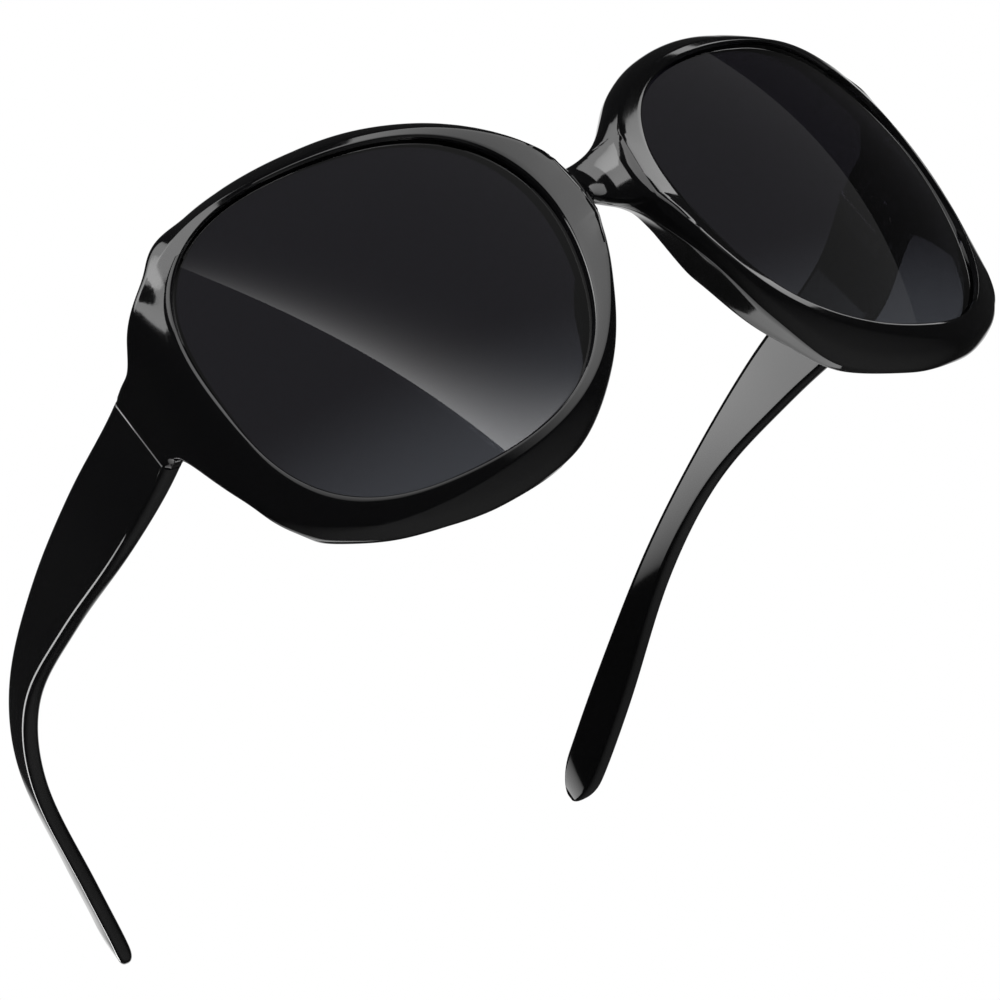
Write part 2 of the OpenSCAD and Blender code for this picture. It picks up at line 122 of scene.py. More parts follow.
# Least facet, slope of the face just beyond it, and room for the face's rounding, as shares
LEAST_FACET_SHARE = 0.25
SHOULDER_SLOPE = 0.55
ROUNDING_ROOM = 1.25
# Steps of a section across: the face's bevel, facet and flank, the rounded edge, the wall and the back
BEVEL_SHARES = (0, 0.9, 1.15)
FACET_STEPS = 6
FLANK_STEPS = 4
EDGE_STEPS = 8
WALL_STEPS = (0.25, 0.5, 0.75)
BACK_STEPS = 8
# Least width of a strip across the face, and half the width of a crease, in millimetres
LEAST_STRIP = 0.1
CREASE_SOFTNESS = 0.07
# The walls beside the bridge's sunken middle: share of the recess, and how far inside the creases they end
WALL_SHARE = 0.8
WALL_RUN = 0.46
# Stations that the solids have along each stretch of outline, which the joining angles count
STATIONS = 4
# Temples: share of the length from which their thickness is even, most rounding as a share of the half
# size, rings of the tip with its first gap and last size, steps of the curve, and chamfer in millimetres
EVEN_FROM_SHARE = 1 / 4
MOST_ROUNDING = 0.9
TIP_RINGS = 14
TIP_GAP_SHARE = 0.003
TIP_LAST_ANGLE = 88
TIP_LEAST = 0.03
TEMPLE_STEPS = 20
TEMPLE_ROUNDS = 12
EDGE_POINTS = 8
SEAM_CHAMFER = 0.18
# Screws and rivets: the screw's head as a share of the barrel's radius, the rest of the shank's radius
SCREW_HEAD_SHARE = 0.86
SCREW_CHAMFER_SHARE = 0.3
SCREW_SLOT_SHARE = 0.5
RIVET_HEAD_SHARE = 1.9
RIVET_DOME_SHARE = 0.8
# Middle of the screw head's rounded chamfer, and length of the slot's cutter as a share of the head's radius
CHAMFER_BULGE = 0.3
SLOT_REACH = 2.5
# Points closer than this are one, in metres, and edges sharper than these stay crisp, in degrees
MERGE_DISTANCE = 1e-6
CRISP = 35
TURNED_CRISP = 30
# How far the pockets' cutters stand out of the plastic, in millimetres
OVERRUN = 0.4
# Points round each lens, and rings from its middle to its edge
LENS_TURNS = 160
LENS_RINGS = 24
# Height of the glasses' middle, which the softboxes are set about, in millimetres
MIDDLE_HEIGHT = 32
# Where the white backdrop hangs behind the glasses, and how near to it its edge and its whole are seen
BACKDROP_WAY = (0.547, 0.811, 0.208)
BACKDROP_EDGE = 0.9
BACKDROP_WHOLE = 0.98


def length(name, description, default):
    """A length in millimetres here, kept by Blender in metres."""
    return bpy.props.FloatProperty(name=name, description=description, default=default * MM, min=0,
                                   unit="LENGTH", precision=5)


def angle(name, description, default):
    """An angle in degrees here, kept by Blender in radians."""
    return bpy.props.FloatProperty(name=name, description=description, default=math.radians(default),
                                   subtype="ANGLE")


def tint(name, description, default):
    """A colour given as an sRGB hex value."""
    return bpy.props.FloatVectorProperty(name=name, description=description, default=linear(default),
                                         min=0, max=1, size=4, subtype="COLOR")


def linear(hex_value):
    """sRGB hex, such as #101012, as linear red, green, blue and alpha."""
    parts = [int(hex_value[i:i + 2], 16) / 255 for i in (1, 3, 5)]
    return [v / 12.92 if v <= 0.04045 else ((v + 0.055) / 1.055) ** 2.4 for v in parts] + [1.0]


class FrontSizes(bpy.types.PropertyGroup):
    """Sizes of the moulded front."""
    half_width: length("Half width", "Half of the width over the end pieces", 74.8)
    wrap_radius: length("Wrap radius", "Radius of the front's curve, seen from above", 76)
    wrap_offset: length("Wrap offset", "From the middle to where each side stands furthest forward", 22.2)
    crown_radius: length("Crown radius", "Radius of the front's curve, seen from the side", 94)
    corner_radius: length("Corner radius", "Turn from the front into each end piece", 10)
    seam_run: length("Seam run", "Straight run of each end piece", 9.4)
    seam_thickness: length("Seam thickness", "Thickness of the end pieces at the seam", 3.6)
    lip_height: length("Lip height", "How far the rim's face stands over the lens", 0.9)
    nose_rise: length("Nose rise", "How much further the face rises beside the nose", 2.2)
    rim_back: length("Rim back", "Depth of the rim behind the lens's front", 3.4)
    pad_depth: length("Pad depth", "How far the nose pads stand back from the rim", 5)
    pad_flare: length("Pad flare", "How far the nose pads lean away from the nose", 1.6)
    edge_radius: length("Edge radius", "Rounding of the outer edges", 1.2)
    face_bevel: length("Face bevel", "Small bevel where the face meets the lens opening", 0.3)
    rim_width: length("Rim width", "Unit of the rim's width round the lenses", 4.4)
    facet_width: length("Facet width", "Unit of the flat facet's width beside the lenses", 4.6)
    shoulder_radius: length("Shoulder radius", "Curve of the face beyond the facet's crease", 6)
    bridge_half_width: length("Bridge half width", "From the middle to the bridge's creases", 7.1)
    bridge_lean: length("Bridge lean", "How far the creases lean out towards the brow", 0.7)
    bridge_top: length("Bridge top", "Height of the bridge's top over the lens centres", 15.1)
    bridge_bottom: length("Bridge bottom", "Height of the arch's top over the lens centres", 4.3)
    bridge_recess: length("Bridge recess", "How far the bridge lies behind its creases", 1.3)
    bridge_round: length("Bridge round", "Half width of the rounding in the bridge's middle", 3.2)
    arch_half_width: length("Arch half width", "Half of the arch's width at its foot", 4.7)
    arch_foot: length("Arch foot", "Height of the arch's foot over the lens centres", 0.3)


class LensSizes(bpy.types.PropertyGroup):
    """Sizes of the lenses and of their grooves."""
    inset: length("Inset", "From the middle to each lens opening, along the curve", 11.65)
    reach: length("Reach", "How far each lens opening reaches into the turn of the front", 1)
    thickness: length("Thickness", "Thickness of the lenses", 2)
    groove_depth: length("Groove depth", "Depth of the groove that holds each lens", 0.8)
    clearance: length("Clearance", "Space between each lens and its groove", 0.05)


class TempleSizes(bpy.types.PropertyGroup):
    """Sizes of the temples."""
    length: length("Length", "From the seam to the tip", 126.5)
    height: length("Height", "Height at the seam", 15)
    thickness: length("Thickness", "Thickness along the arm", 3)
    tip_inset: length("Tip inset", "How far the tips bend inwards", 25.6)
    tip_run: length("Tip run", "Length of the rounded end", 5.6)
    seam_gap: length("Seam gap", "Gap at the seam while the temple is open", 0.12)
    slope: angle("Slope", "Slope of the temples from square to the front", 8.9)


class HingeSizes(bpy.types.PropertyGroup):
    """Sizes of the barrel hinges, their screws and their rivets."""
    barrel_radius: length("Barrel radius", "Outer radius of the barrels", 1.45)
    barrel_height: length("Barrel height", "Height of the barrels", 9)
    knuckle_gap: length("Knuckle gap", "Space between neighbouring knuckles", 0.06)
    screw_radius: length("Screw radius", "Radius of the screw's shank", 0.7)
    leaf_thickness: length("Leaf thickness", "Thickness of the leaves", 0.9)
    leaf_length: length("Leaf length", "Length of the leaves beyond the barrel", 4.4)
    leaf_clearance: length("Leaf clearance", "Space round each leaf in its pocket", 0.05)
    fixing_radius: length("Fixing radius", "Radius of the rivets' shanks", 0.55)
    rivet_depth: length("Rivet depth", "How far each rivet goes into the plastic", 1.5)


class StandSizes(bpy.types.PropertyGroup):
    """How the open glasses stand on the table."""
    lean: angle("Lean", "How far the front leans back", 2.61)
    back: bpy.props.FloatProperty(name="Back", description="Where the front's own origin lies along Y",
                                  default=-73.8 * MM, unit="LENGTH", precision=5)
    up: length("Up", "Height of the front's own origin over the table", 34.51)


class Finishes(bpy.types.PropertyGroup):
    """Colours of the glasses."""
    plastic: tint("Plastic", "Black of the moulded front and temples", "#09090a")
    lens_top: tint("Lens top", "Tint at the top of the lenses", "#111015")
    lens_bottom: tint("Lens bottom", "Tint at the bottom of the lenses", "#36383d")
    hinge: tint("Hinge", "Nickel silver of the hinges", "#b9b6ae")
    fixing: tint("Fixing", "Steel of the screws and rivets", "#c6c8ca")


class Studio(bpy.types.PropertyGroup):
    """Camera and stage."""
    azimuth: angle("Azimuth", "Way in which the camera looks, turned from +Y towards +X", 36.53)
    elevation: angle("Elevation", "Slope of the camera's aim; it looks up from below the rims", 17.69)
    roll: angle("Roll", "Turn of the picture about the camera's aim", 30.6)
    distance: length("Distance", "From the camera to the point it aims at", 1064.4)
    aim: bpy.props.FloatVectorProperty(name="Aim", description="Point that the camera aims at", size=3,
                                       default=(16.31 * MM, 10.32 * MM, 31.61 * MM), unit="LENGTH")
    lens: bpy.props.FloatProperty(name="Lens", description="Focal length on a 36 mm sensor", default=233.9)
    floor: tint("Floor", "Pale floor under the glasses", "#f4f4f4")
    floor_size: length("Floor size", "Side of the floor", 1600)


SETTINGS = {"front": FrontSizes, "lens": LensSizes, "temple": TempleSizes, "hinge": HingeSizes,
            "stand": StandSizes, "finish": Finishes, "studio": Studio}


class Millimetres:
    """The lengths of one settings group in millimetres, and its other values as they are."""

    def __init__(self, group):
        for name, prop in group.bl_rna.properties.items():
            if prop.type != "FLOAT":
                continue
            value = getattr(group, name)
            setattr(self, name, value / MM if prop.unit == "LENGTH" else value)


def sizes(name):
    """The settings of one group as plain numbers in millimetres."""
    return Millimetres(getattr(bpy.context.scene.sunglasses, name))


def ease(t):
    """From 0 to 1 with a soft start and end."""
    t = np.clip(t, 0, 1)
    return t * t * (3 - 2 * t)


def mix(a, b, t):
    """From a at 0 to b at 1."""
    return a + (b - a) * t


def within(degrees, span):
    """From 0 to 1 and back over a span of angles: its start and run in, its end and run out."""
    start, run_in, end, run_out = span
    return ease((degrees - start) / run_in) * ease((end - degrees) / run_out)


def round_share(shares, degrees):
    """Value at any angle of the smooth closed curve through even shares."""
    n = len(shares)
    degrees = np.asarray(degrees, float)
    total = np.zeros(degrees.shape)
    for k, share in enumerate(shares):
        t = np.radians(degrees - 360 * k / n)
        flat = np.abs(np.sin(t / 2)) < 1e-6
        safe = np.where(flat, 1.0, t)
        total += share * np.where(flat, 1.0, np.sin(n * safe / 2) / (n * np.tan(safe / 2)))
    return total


def spline(a, b, c, d, t):
    """Point on the smooth curve from b to c, with their neighbours a and d."""
    return 0.5 * (2 * b + (c - a) * t + (2 * a - 5 * b + 4 * c - d) * t ** 2
                  + (3 * b - a - 3 * c + d) * t ** 3)


def smooth_curve(before, points, after, steps):
    """The curve through points, steps to a stretch and without its last point."""
    every = [np.asarray(p, float) for p in (before, *points, after)]
    return [spline(*every[k:k + 4], i / steps) for k in range(len(points) - 1) for i in range(steps)]


def relax(points, rounds):
    """An open line evened out by averaging neighbours, with its two ends kept."""
    points = np.array(points)
    for _ in range(rounds):
        points[1:-1] = (points[:-2] + 2 * points[1:-1] + points[2:]) / 4
    return points


def evenly(points, spacing):
    """An open line with its points spread evenly along it."""
    points = np.array(points)
    steps = np.linalg.norm(np.diff(points[:, :2], axis=0), axis=1)
    along = np.concatenate([[0], np.cumsum(steps)])
    count = max(2, int(round(along[-1] / spacing)) + 1)
    wanted = np.linspace(0, along[-1], count)
    return np.stack([np.interp(wanted, along, points[:, i]) for i in range(points.shape[1])], axis=1)


class Front:
    """The front's curve and outlines in millimetres: points lie at (u, z), u along the curve."""

    def __init__(self):
        self.f, self.lens, self.t = f, lens, t = sizes("front"), sizes("lens"), sizes("temple")
        self.nose = math.asin(f.wrap_offset / f.wrap_radius)
        self.turn = math.asin((f.half_width - f.lip_height - f.wrap_offset - f.corner_radius)
                              / (f.wrap_radius - f.corner_radius))
        self.depth = f.wrap_radius * math.cos(self.nose)
        self.turn_u = f.wrap_radius * (self.turn + self.nose)
        self.straight_u = self.turn_u + f.corner_radius * (math.pi / 2 - self.turn)
        self.seam_u = self.straight_u + f.seam_run
        self.ease_turn()
        outer, inner = OPENING_SHARES[0], OPENING_SHARES[len(OPENING_SHARES) // 2]
        self.lens_radius = (self.turn_u + lens.reach - lens.inset) / (outer + inner)
        self.lens_centre = lens.inset + inner * self.lens_radius
        self.seam_y = float(self.plan(np.array([self.seam_u]))[1][0])
        self.seam_z = SEAM_HEIGHT_SHARE * self.lens_radius
        self.draw_outline()

    def ease_turn(self):
        """Table of the curve from above with its turn eased in and out, which the wide offsets of the
        outer walls need; its seam stays where the solids have it."""
        u = np.arange(self.f.bridge_half_width, self.seam_u + TURN_REACH, TURN_STEP)
        reach = int(3 * TURN_SPREAD / TURN_STEP)
        weights = np.exp(-0.5 * (np.arange(-reach, reach + 1) * TURN_STEP / TURN_SPREAD) ** 2)
        sharp = np.pad(self.sharp_heading(u), reach, mode="reflect", reflect_type="odd")
        heading = np.convolve(sharp, weights / weights.sum(), "valid")
        x0, y0 = self.arc(self.f.bridge_half_width)
        way = (heading[1:] + heading[:-1]) / 2
        x = x0 + np.concatenate([[0], np.cumsum(np.cos(way)) * TURN_STEP])
        y = y0 + np.concatenate([[0], np.cumsum(np.sin(way)) * TURN_STEP])
        seam_x, seam_y = (float(v[0]) for v in self.sharp_plan(np.array([self.seam_u])))
        share = self.into_turn(u)
        x += share * (seam_x - np.interp(self.seam_u, u, x))
        y += share * (seam_y - np.interp(self.seam_u, u, y))
        self.eased = (u, heading, x, y)
        self.eased_from = u[0] + TURN_START

    def heading(self, u):
        """Way of the curve from above at u, turned from +X towards +Y."""
        table_u, heading = self.eased[:2]
        return np.where(u < self.eased_from, self.sharp_heading(u), np.interp(u, table_u, heading))

    def plan(self, u):
        """Points of the curve from above at u."""
        table_u, _, table_x, table_y = self.eased
        x, y = self.sharp_plan(u)
        near = u < self.eased_from
        return (np.where(near, x, np.interp(u, table_u, table_x)),
                np.where(near, y, np.interp(u, table_u, table_y)))

    def sharp_heading(self, u):
        """The heading as the solids have it: bridge, wide arc, tight turn and straight end piece."""
        f = self.f
        side = f.bridge_half_width / f.wrap_radius - self.nose
        return np.where(u < f.bridge_half_width, np.arctan(math.tan(side) * u / f.bridge_half_width),
                        np.where(u < self.turn_u, u / f.wrap_radius - self.nose,
                                 np.minimum(math.pi / 2, self.turn + (u - self.turn_u) / f.corner_radius)))

    def arc(self, u):
        """Points of the wide arc at u."""
        r, a = self.f.wrap_radius, u / self.f.wrap_radius - self.nose
        return self.f.wrap_offset + r * np.sin(a), self.depth - r * np.cos(a)

    def sharp_plan(self, u):
        """The curve's points as the solids have them."""
        f = self.f
        w = f.bridge_half_width
        side_x, side_y = self.arc(w)
        t = u / w
        x0 = side_x * t
        y0 = side_y + math.tan(w / f.wrap_radius - self.nose) * side_x / 2 * (t * t - 1)
        x1, y1 = self.arc(u)
        a = self.sharp_heading(u)
        turn_x, turn_y = self.arc(self.turn_u)
        x2 = turn_x + f.corner_radius * (np.sin(a) - math.sin(self.turn))
        y2 = turn_y + f.corner_radius * (math.cos(self.turn) - np.cos(a)) + np.maximum(0, u - self.straight_u)
        near, far = u < w, u >= self.turn_u
        return np.where(near, x0, np.where(far, x2, x1)), np.where(near, y0, np.where(far, y2, y1))

    def into_turn(self, u):
        """From 0 where the turn starts to 1 where the end piece runs straight."""
        return ease((u - self.turn_u) / (self.straight_u - self.turn_u))

    def wrap(self, u, z, n):
        """Flat points at height n over the lens's front, as points in space."""
        f = self.f
        slant = (SLANT_SHARE * np.maximum(0, -n) * ease(2 - u / f.bridge_half_width * SLANT_RUN)
                 * np.clip(1 - z / f.bridge_top, 0, 1))
        h = n - (1 - self.into_turn(u)) * z * z / (2 * f.crown_radius)
        a = self.heading(u)
        x, y = self.plan(u)
        x, y = x + h * np.sin(a), y - h * np.cos(a)
        rounding = BRIDGE_SLOPE * np.maximum(0, f.bridge_round - x) ** 2 / (2 * f.bridge_round)
        return np.stack([x, y - rounding, z + slant], axis=-1)

    def round_lens(self, degrees, extra=0.0):
        """Flat points of the lens opening at those angles, moved out by extra."""
        r = self.lens_radius * round_share(OPENING_SHARES, degrees) + extra
        a = np.radians(degrees)
        return np.stack([self.lens_centre + r * np.cos(a), r * np.sin(a)], axis=-1)

    def seam_point(self, t):
        """Flat point of the seam, from its top at 0 to its foot at 1."""
        h = self.t.height * (0.5 - t)
        return np.array([self.seam_u + h * math.sin(self.t.slope), self.seam_z + h * math.cos(self.t.slope)])

    def end_piece(self, back, up):
        """Flat point back from the seam's top, or from its foot where up is not above zero."""
        s = self.t.slope
        return self.seam_point(0 if up > 0 else 1) + back * np.array([-math.cos(s), math.sin(s)]) + [0, up]

    def draw_outline(self):
        """Outline of one half: along the brow, down the seam, along the lower edge and up the middle."""
        f, h = self.f, self.t.height
        brow = [np.array([0, f.bridge_top]),
                np.array([f.bridge_half_width * KNEE_SHARE, f.bridge_top + f.bridge_lean / 4])]
        brow += [self.round_lens(a, f.rim_width * s) for a, s in BROW_SHARES]
        brow += [self.end_piece(h * back, f.rim_width * up) for back, up in END_TOP_SHARES]
        brow += [self.seam_point(0)]
        lower = [self.seam_point(1)]
        lower += [self.end_piece(h * back, f.rim_width * up) for back, up in END_FOOT_SHARES]
        lower += [self.round_lens(a, f.rim_width * s) for a, s in LOWER_SHARES]
        lower += [np.array([f.arch_half_width, f.arch_foot]),
                  np.array([f.arch_half_width * KNEE_SHARE, mix(f.arch_foot, f.bridge_bottom, KNEE_SHARE)]),
                  np.array([0, f.bridge_bottom])]
        brow_fine = smooth_curve([-brow[1][0], brow[1][1]], brow, self.seam_point(0) * 2 - brow[-2],
                                 OUTLINE_STEPS)
        behind = self.end_piece(h * END_FOOT_SHARES[0][0], 0)
        lower_fine = smooth_curve(self.seam_point(1) * 2 - behind, lower, [-lower[-2][0], lower[-2][1]],
                                  OUTLINE_STEPS)
        seam = [self.seam_point(t) for t in END_SHARES]
        middle = [np.array([0, mix(f.bridge_bottom, f.bridge_top, t)]) for t in END_SHARES]
        brow_count = STATIONS * (len(brow) - 1)
        lower_count = STATIONS * (len(lower) - 1)
        count = brow_count + lower_count + 2 * (len(END_SHARES) - 1)

        def counted(points, last, start, end):
            """The points with the solids' station number as a third value."""
            line = np.array(list(points) + [last])
            return np.column_stack([line, np.linspace(start, end, len(line))])

        brow_line = counted(brow_fine, brow[-1], 0, brow_count)
        lower_start = brow_count + len(seam) - 1
        lower_line = counted(lower_fine, lower[-1], lower_start, lower_start + lower_count)
        seam_line = np.column_stack([seam, brow_count + np.arange(len(seam))])
        middle_line = np.column_stack([middle, lower_start + lower_count + np.arange(len(middle))])
        lines = []
        for line, mirrored in ((brow_line, "start"), (seam_line, ""), (lower_line, "end"), (middle_line, "")):
            line = evenly(line, OUTLINE_SPACING)
            if mirrored:
                line = self.relax_mirrored(line, mirrored == "start")
            lines.append(line)
        self.brow_edge, self.lower_edge = lines[0][:, :2], lines[2][:, :2]
        self.outline = np.concatenate([line[:-1] for line in lines])
        self.bridge_start = sum(len(line) - 1 for line in lines[:3])
        x, z = self.outline[:, 0] - self.lens_centre, self.outline[:, 1]
        own = np.degrees(np.arctan2(z, x))
        past = self.outline[:, 2] > brow_count + len(seam) - 1
        own = np.where(past & (own > 90), own - 360, own)
        self.angles = mix(own, own[0] - 360 * self.outline[:, 2] / count, STATION_SHARE)

    def relax_mirrored(self, line, at_start):
        """Evens a line that goes on past the middle as its own mirror image."""
        line = line if at_start else line[::-1]
        image = line[MIRROR_RUN:0:-1] * [-1, 1, 1]
        image[:, 2] = 2 * line[0, 2] - image[:, 2]
        line = relax(np.concatenate([image, line]), MIRROR_ROUNDS)[MIRROR_RUN:]
        line[0, 0] = 0
        return line if at_start else line[::-1]

    def to_edge(self, u, z):
        """Distance from flat points to the brow's and the lower edge."""
        p = np.stack([u.ravel(), z.ravel()], axis=1)
        best = np.full(len(p), 1e9)
        for line in (self.brow_edge, self.lower_edge):
            for a, b in zip(line[:-1], line[1:]):
                ab = b - a
                t = np.clip((p - a) @ ab / (ab @ ab), 0, 1)
                best = np.minimum(best, np.linalg.norm(p - a - t[:, None] * ab, axis=1))
        return best.reshape(u.shape)

    def face_radius(self, degrees):
        """Rounding of the face's outer edge, which grows at the lower outer corner."""
        return self.f.edge_radius * (1 + CORNER_SWELL * within(degrees, CORNER_SPAN))

    def edge_drop(self, d, r):
        """How far a rounded edge of radius r has fallen at distance d from the outline."""
        return np.where(d >= r, 0, r - np.sqrt(np.maximum(0, r * r - (r - np.minimum(d, r)) ** 2)))

    def facet_at(self, degrees):
        """Width of the flat facet beside the lens at those angles."""
        return self.f.facet_width * np.maximum(LEAST_FACET_SHARE, round_share(FACET_SHARES, degrees))

    def bridge_side(self, z):
        """Where the bridge's crease lies at height z."""
        return self.f.bridge_half_width + self.f.bridge_lean * (2 * z / self.f.bridge_top - 1)

    def shoulder(self, u, degrees, d, squash):
        """How far the face has fallen beyond the facet's crease; squash takes the joint's obliqueness out."""
        beyond = (np.maximum(0, d - self.facet_at(degrees)) * squash
                  * (1 - ease(1 - (self.turn_u - u) / self.f.corner_radius)))
        return SHOULDER_SLOPE * beyond + beyond ** 2 / (2 * self.f.shoulder_radius)

    def face_height(self, u, z, degrees, d, squash):
        """Height of the face over the lens's front, at distance d from the lens."""
        f = self.f
        inward = np.maximum(0, 1 - u / self.bridge_side(z))
        fall = np.where(inward < WALL_RUN, WALL_SHARE * inward / WALL_RUN,
                        1 - (1 - WALL_SHARE) * ((1 - inward) / (1 - WALL_RUN)) ** 2)
        run = np.minimum(d, f.facet_width)
        bump = ((1 + np.cos(np.radians(degrees - NOSE_ANGLE))) / 2) ** 3
        return (f.lip_height + f.nose_rise * bump * run / f.facet_width - f.bridge_recess * fall
                - np.maximum(0, f.face_bevel - d) - self.shoulder(u, degrees, d, squash)
                - self.edge_drop(self.to_edge(u, z), self.face_radius(degrees)))

    def pad_height(self, u, degrees):
        """Share of the nose pad's full depth at those angles."""
        a = np.where(degrees < 0, degrees + 360, degrees)
        return within(a, PAD_SPAN) * ease(u / self.f.arch_half_width)

    def back_height(self, u, z, degrees, d, squash):
        """The back follows the face wherever the face falls by more than the rim's depth allows."""
        f = self.f
        room = f.lip_height + f.rim_back - self.face_radius(degrees) - f.edge_radius * ROUNDING_ROOM
        ramp = ease(d / f.rim_width * PAD_RAMP - PAD_RAMP_START)
        return (mix(-f.rim_back, f.lip_height - f.seam_thickness, self.into_turn(u))
                - np.maximum(0, self.shoulder(u, degrees, d, squash) - room)
                - f.pad_depth * self.pad_height(u, degrees) * ramp
                + self.edge_drop(self.to_edge(u, z), f.edge_radius))

    def sections(self):
        """Every cross-section of one half, from the lens over the face, round and back to the groove."""
        f, lens = self.f, self.lens
        degrees = self.angles
        p = self.outline[:, :2]
        lens_edge = self.round_lens(degrees)
        floor_edge = self.round_lens(degrees, lens.groove_depth)
        whole = np.linalg.norm(p - lens_edge, axis=1)
        out = (p - lens_edge) / whole[:, None]
        own = p - [self.lens_centre, 0]
        own_degrees = np.degrees(np.arctan2(own[:, 1], own[:, 0]))
        own_radius = self.lens_radius * round_share(OPENING_SHARES, own_degrees)
        squash = np.minimum(1, (np.linalg.norm(own, axis=1) - own_radius) / whole)[:, None]

        def crossing_of(share):
            """Distance from the lens at which each section comes to that share of the bridge's crease."""
            a = lens_edge[:, 0] - share * self.bridge_side(lens_edge[:, 1])
            b = p[:, 0] - share * self.bridge_side(p[:, 1])
            return np.where(b < 0, whole * a / np.where(b < 0, a - b, 1), whole)

        crossing, foot = crossing_of(1), crossing_of(1 - WALL_RUN)
        radius = self.face_radius(degrees)
        crease = np.minimum(np.minimum(self.facet_at(degrees), crossing), whole - radius - LEAST_STRIP)
        crease = np.maximum(crease, f.face_bevel + LEAST_STRIP)
        start = np.maximum(crease + LEAST_STRIP, whole - radius)
        fold = np.where(foot < start, np.maximum(foot, crease + LEAST_STRIP), (crease + start) / 2)
        before, after = crease - CREASE_SOFTNESS, crease + CREASE_SOFTNESS
        rounding = np.sin(np.radians(np.linspace(0, 90, EDGE_STEPS + 1)))
        flank = np.linspace(0, 1, FLANK_STEPS + 1)[1:-1]
        runs = [np.full(len(p), f.face_bevel * share) for share in BEVEL_SHARES]
        runs += [mix(runs[-1], before, t) for t in np.linspace(0, 1, FACET_STEPS + 1)[1:]]
        runs += [after]
        runs += [mix(after, fold, t) for t in flank] + [fold]
        runs += [mix(fold, start, t) for t in flank]
        runs += [mix(start, whole, t) for t in rounding]
        u = lens_edge[:, None, 0] + np.stack(runs, 1) * out[:, None, 0]
        z = lens_edge[:, None, 1] + np.stack(runs, 1) * out[:, None, 1]
        face = self.face_height(u, z, degrees[:, None], np.stack(runs, 1), squash)
        lean = f.pad_flare * self.pad_height(p[:, 0], degrees)
        heel = whole - lean
        back_start = heel - f.edge_radius
        back_runs = [mix(heel, back_start, 1 - t) for t in rounding[::-1]]
        back_runs += [mix(back_start, 0, t) for t in np.linspace(0, 1, BACK_STEPS + 1)[1:]]
        back = np.stack(back_runs, 1)
        shift = np.minimum(lean[:, None], whole[:, None] - back)
        at_u = lens_edge[:, None, 0] + (back + shift) * out[:, None, 0]
        at_z = lens_edge[:, None, 1] + (back + shift) * out[:, None, 1]
        rear = self.back_height(at_u, at_z, degrees[:, None], back, squash)
        bu = lens_edge[:, None, 0] + back * out[:, None, 0]
        bz = lens_edge[:, None, 1] + back * out[:, None, 1]
        wu, wz, wn = (np.stack([mix(a[:, -1], b[:, 0], t) for t in WALL_STEPS], 1)
                      for a, b in ((u, bu), (z, bz), (face, rear)))
        groove = lens.thickness + 2 * lens.clearance
        tail = [(lens_edge, -groove), (floor_edge, -groove), (floor_edge, 0.0), (lens_edge, 0.0)]
        tu = np.stack([q[:, 0] for q, _ in tail], 1)
        tz = np.stack([q[:, 1] for q, _ in tail], 1)
        tn = np.stack([np.full(len(p), n) for _, n in tail], 1)
        self.face_count = u.shape[1]
        return self.wrap(np.concatenate([u, wu, bu, tu], 1), np.concatenate([z, wz, bz, tz], 1),
                         np.concatenate([face, wn, rear, tn], 1))


def standing(points):
    """Points of the front's own upright frame, in millimetres, as they stand on the table in metres."""
    s = sizes("stand")
    points = np.asarray(points, float)
    c, n = math.cos(s.lean), math.sin(s.lean)
    y = points[..., 1] * c + points[..., 2] * n + s.back
    z = -points[..., 1] * n + points[..., 2] * c + s.up
    return np.stack([points[..., 0], y, z], axis=-1) * MM


def at_seam(points, side, front):
    """Points of a temple's own frame at its seam, as they stand on the table in metres."""
    a = front.t.slope
    points = np.asarray(points, float)
    y = points[..., 1] * math.cos(a) + points[..., 2] * math.sin(a) + front.seam_y
    z = -points[..., 1] * math.sin(a) + points[..., 2] * math.cos(a) + front.seam_z
    return standing(np.stack([side * (points[..., 0] + front.f.half_width), y, z], axis=-1))


def mesh_piece(name, points, faces, material):
    """A finished mesh object at the origin, merged, facing outwards and smoothly shaded."""
    mesh = bpy.data.meshes.new(name)
    mesh.from_pydata([tuple(p) for p in np.asarray(points).reshape(-1, 3)], [], faces)
    piece = bpy.data.objects.new(name, mesh)
    bpy.context.scene.collection.objects.link(piece)
    tidy_mesh(mesh)
    mesh.materials.append(material)
    shade(mesh, CRISP)
    return piece


def tidy_mesh(mesh):
    """Joins points that lie together, drops empty faces and turns the rest outwards."""
    work = bmesh.new()
    work.from_mesh(mesh)
    bmesh.ops.remove_doubles(work, verts=work.verts, dist=MERGE_DISTANCE)
    bmesh.ops.dissolve_degenerate(work, dist=MERGE_DISTANCE / 10, edges=work.edges)
    if work.calc_volume(signed=True) < 0:
        bmesh.ops.reverse_faces(work, faces=work.faces)
    work.to_mesh(mesh)
    work.free()


def shade(mesh, sharp):
    """Smooth faces, with the edges over that many degrees kept crisp."""
    mesh.polygons.foreach_set("use_smooth", [True] * len(mesh.polygons))
    mesh.set_sharp_from_angle(angle=math.radians(sharp))
    mesh.update()


def box_between(low, high):
    """Corners and faces of a box, for cutting a pocket."""
    corners = [(x, y, z) for x in (low[0], high[0]) for y in (low[1], high[1]) for z in (low[2], high[2])]
    faces = [(0, 1, 3, 2), (4, 6, 7, 5), (0, 4, 5, 1), (2, 3, 7, 6), (0, 2, 6, 4), (1, 5, 7, 3)]
    return np.array(corners, float), faces


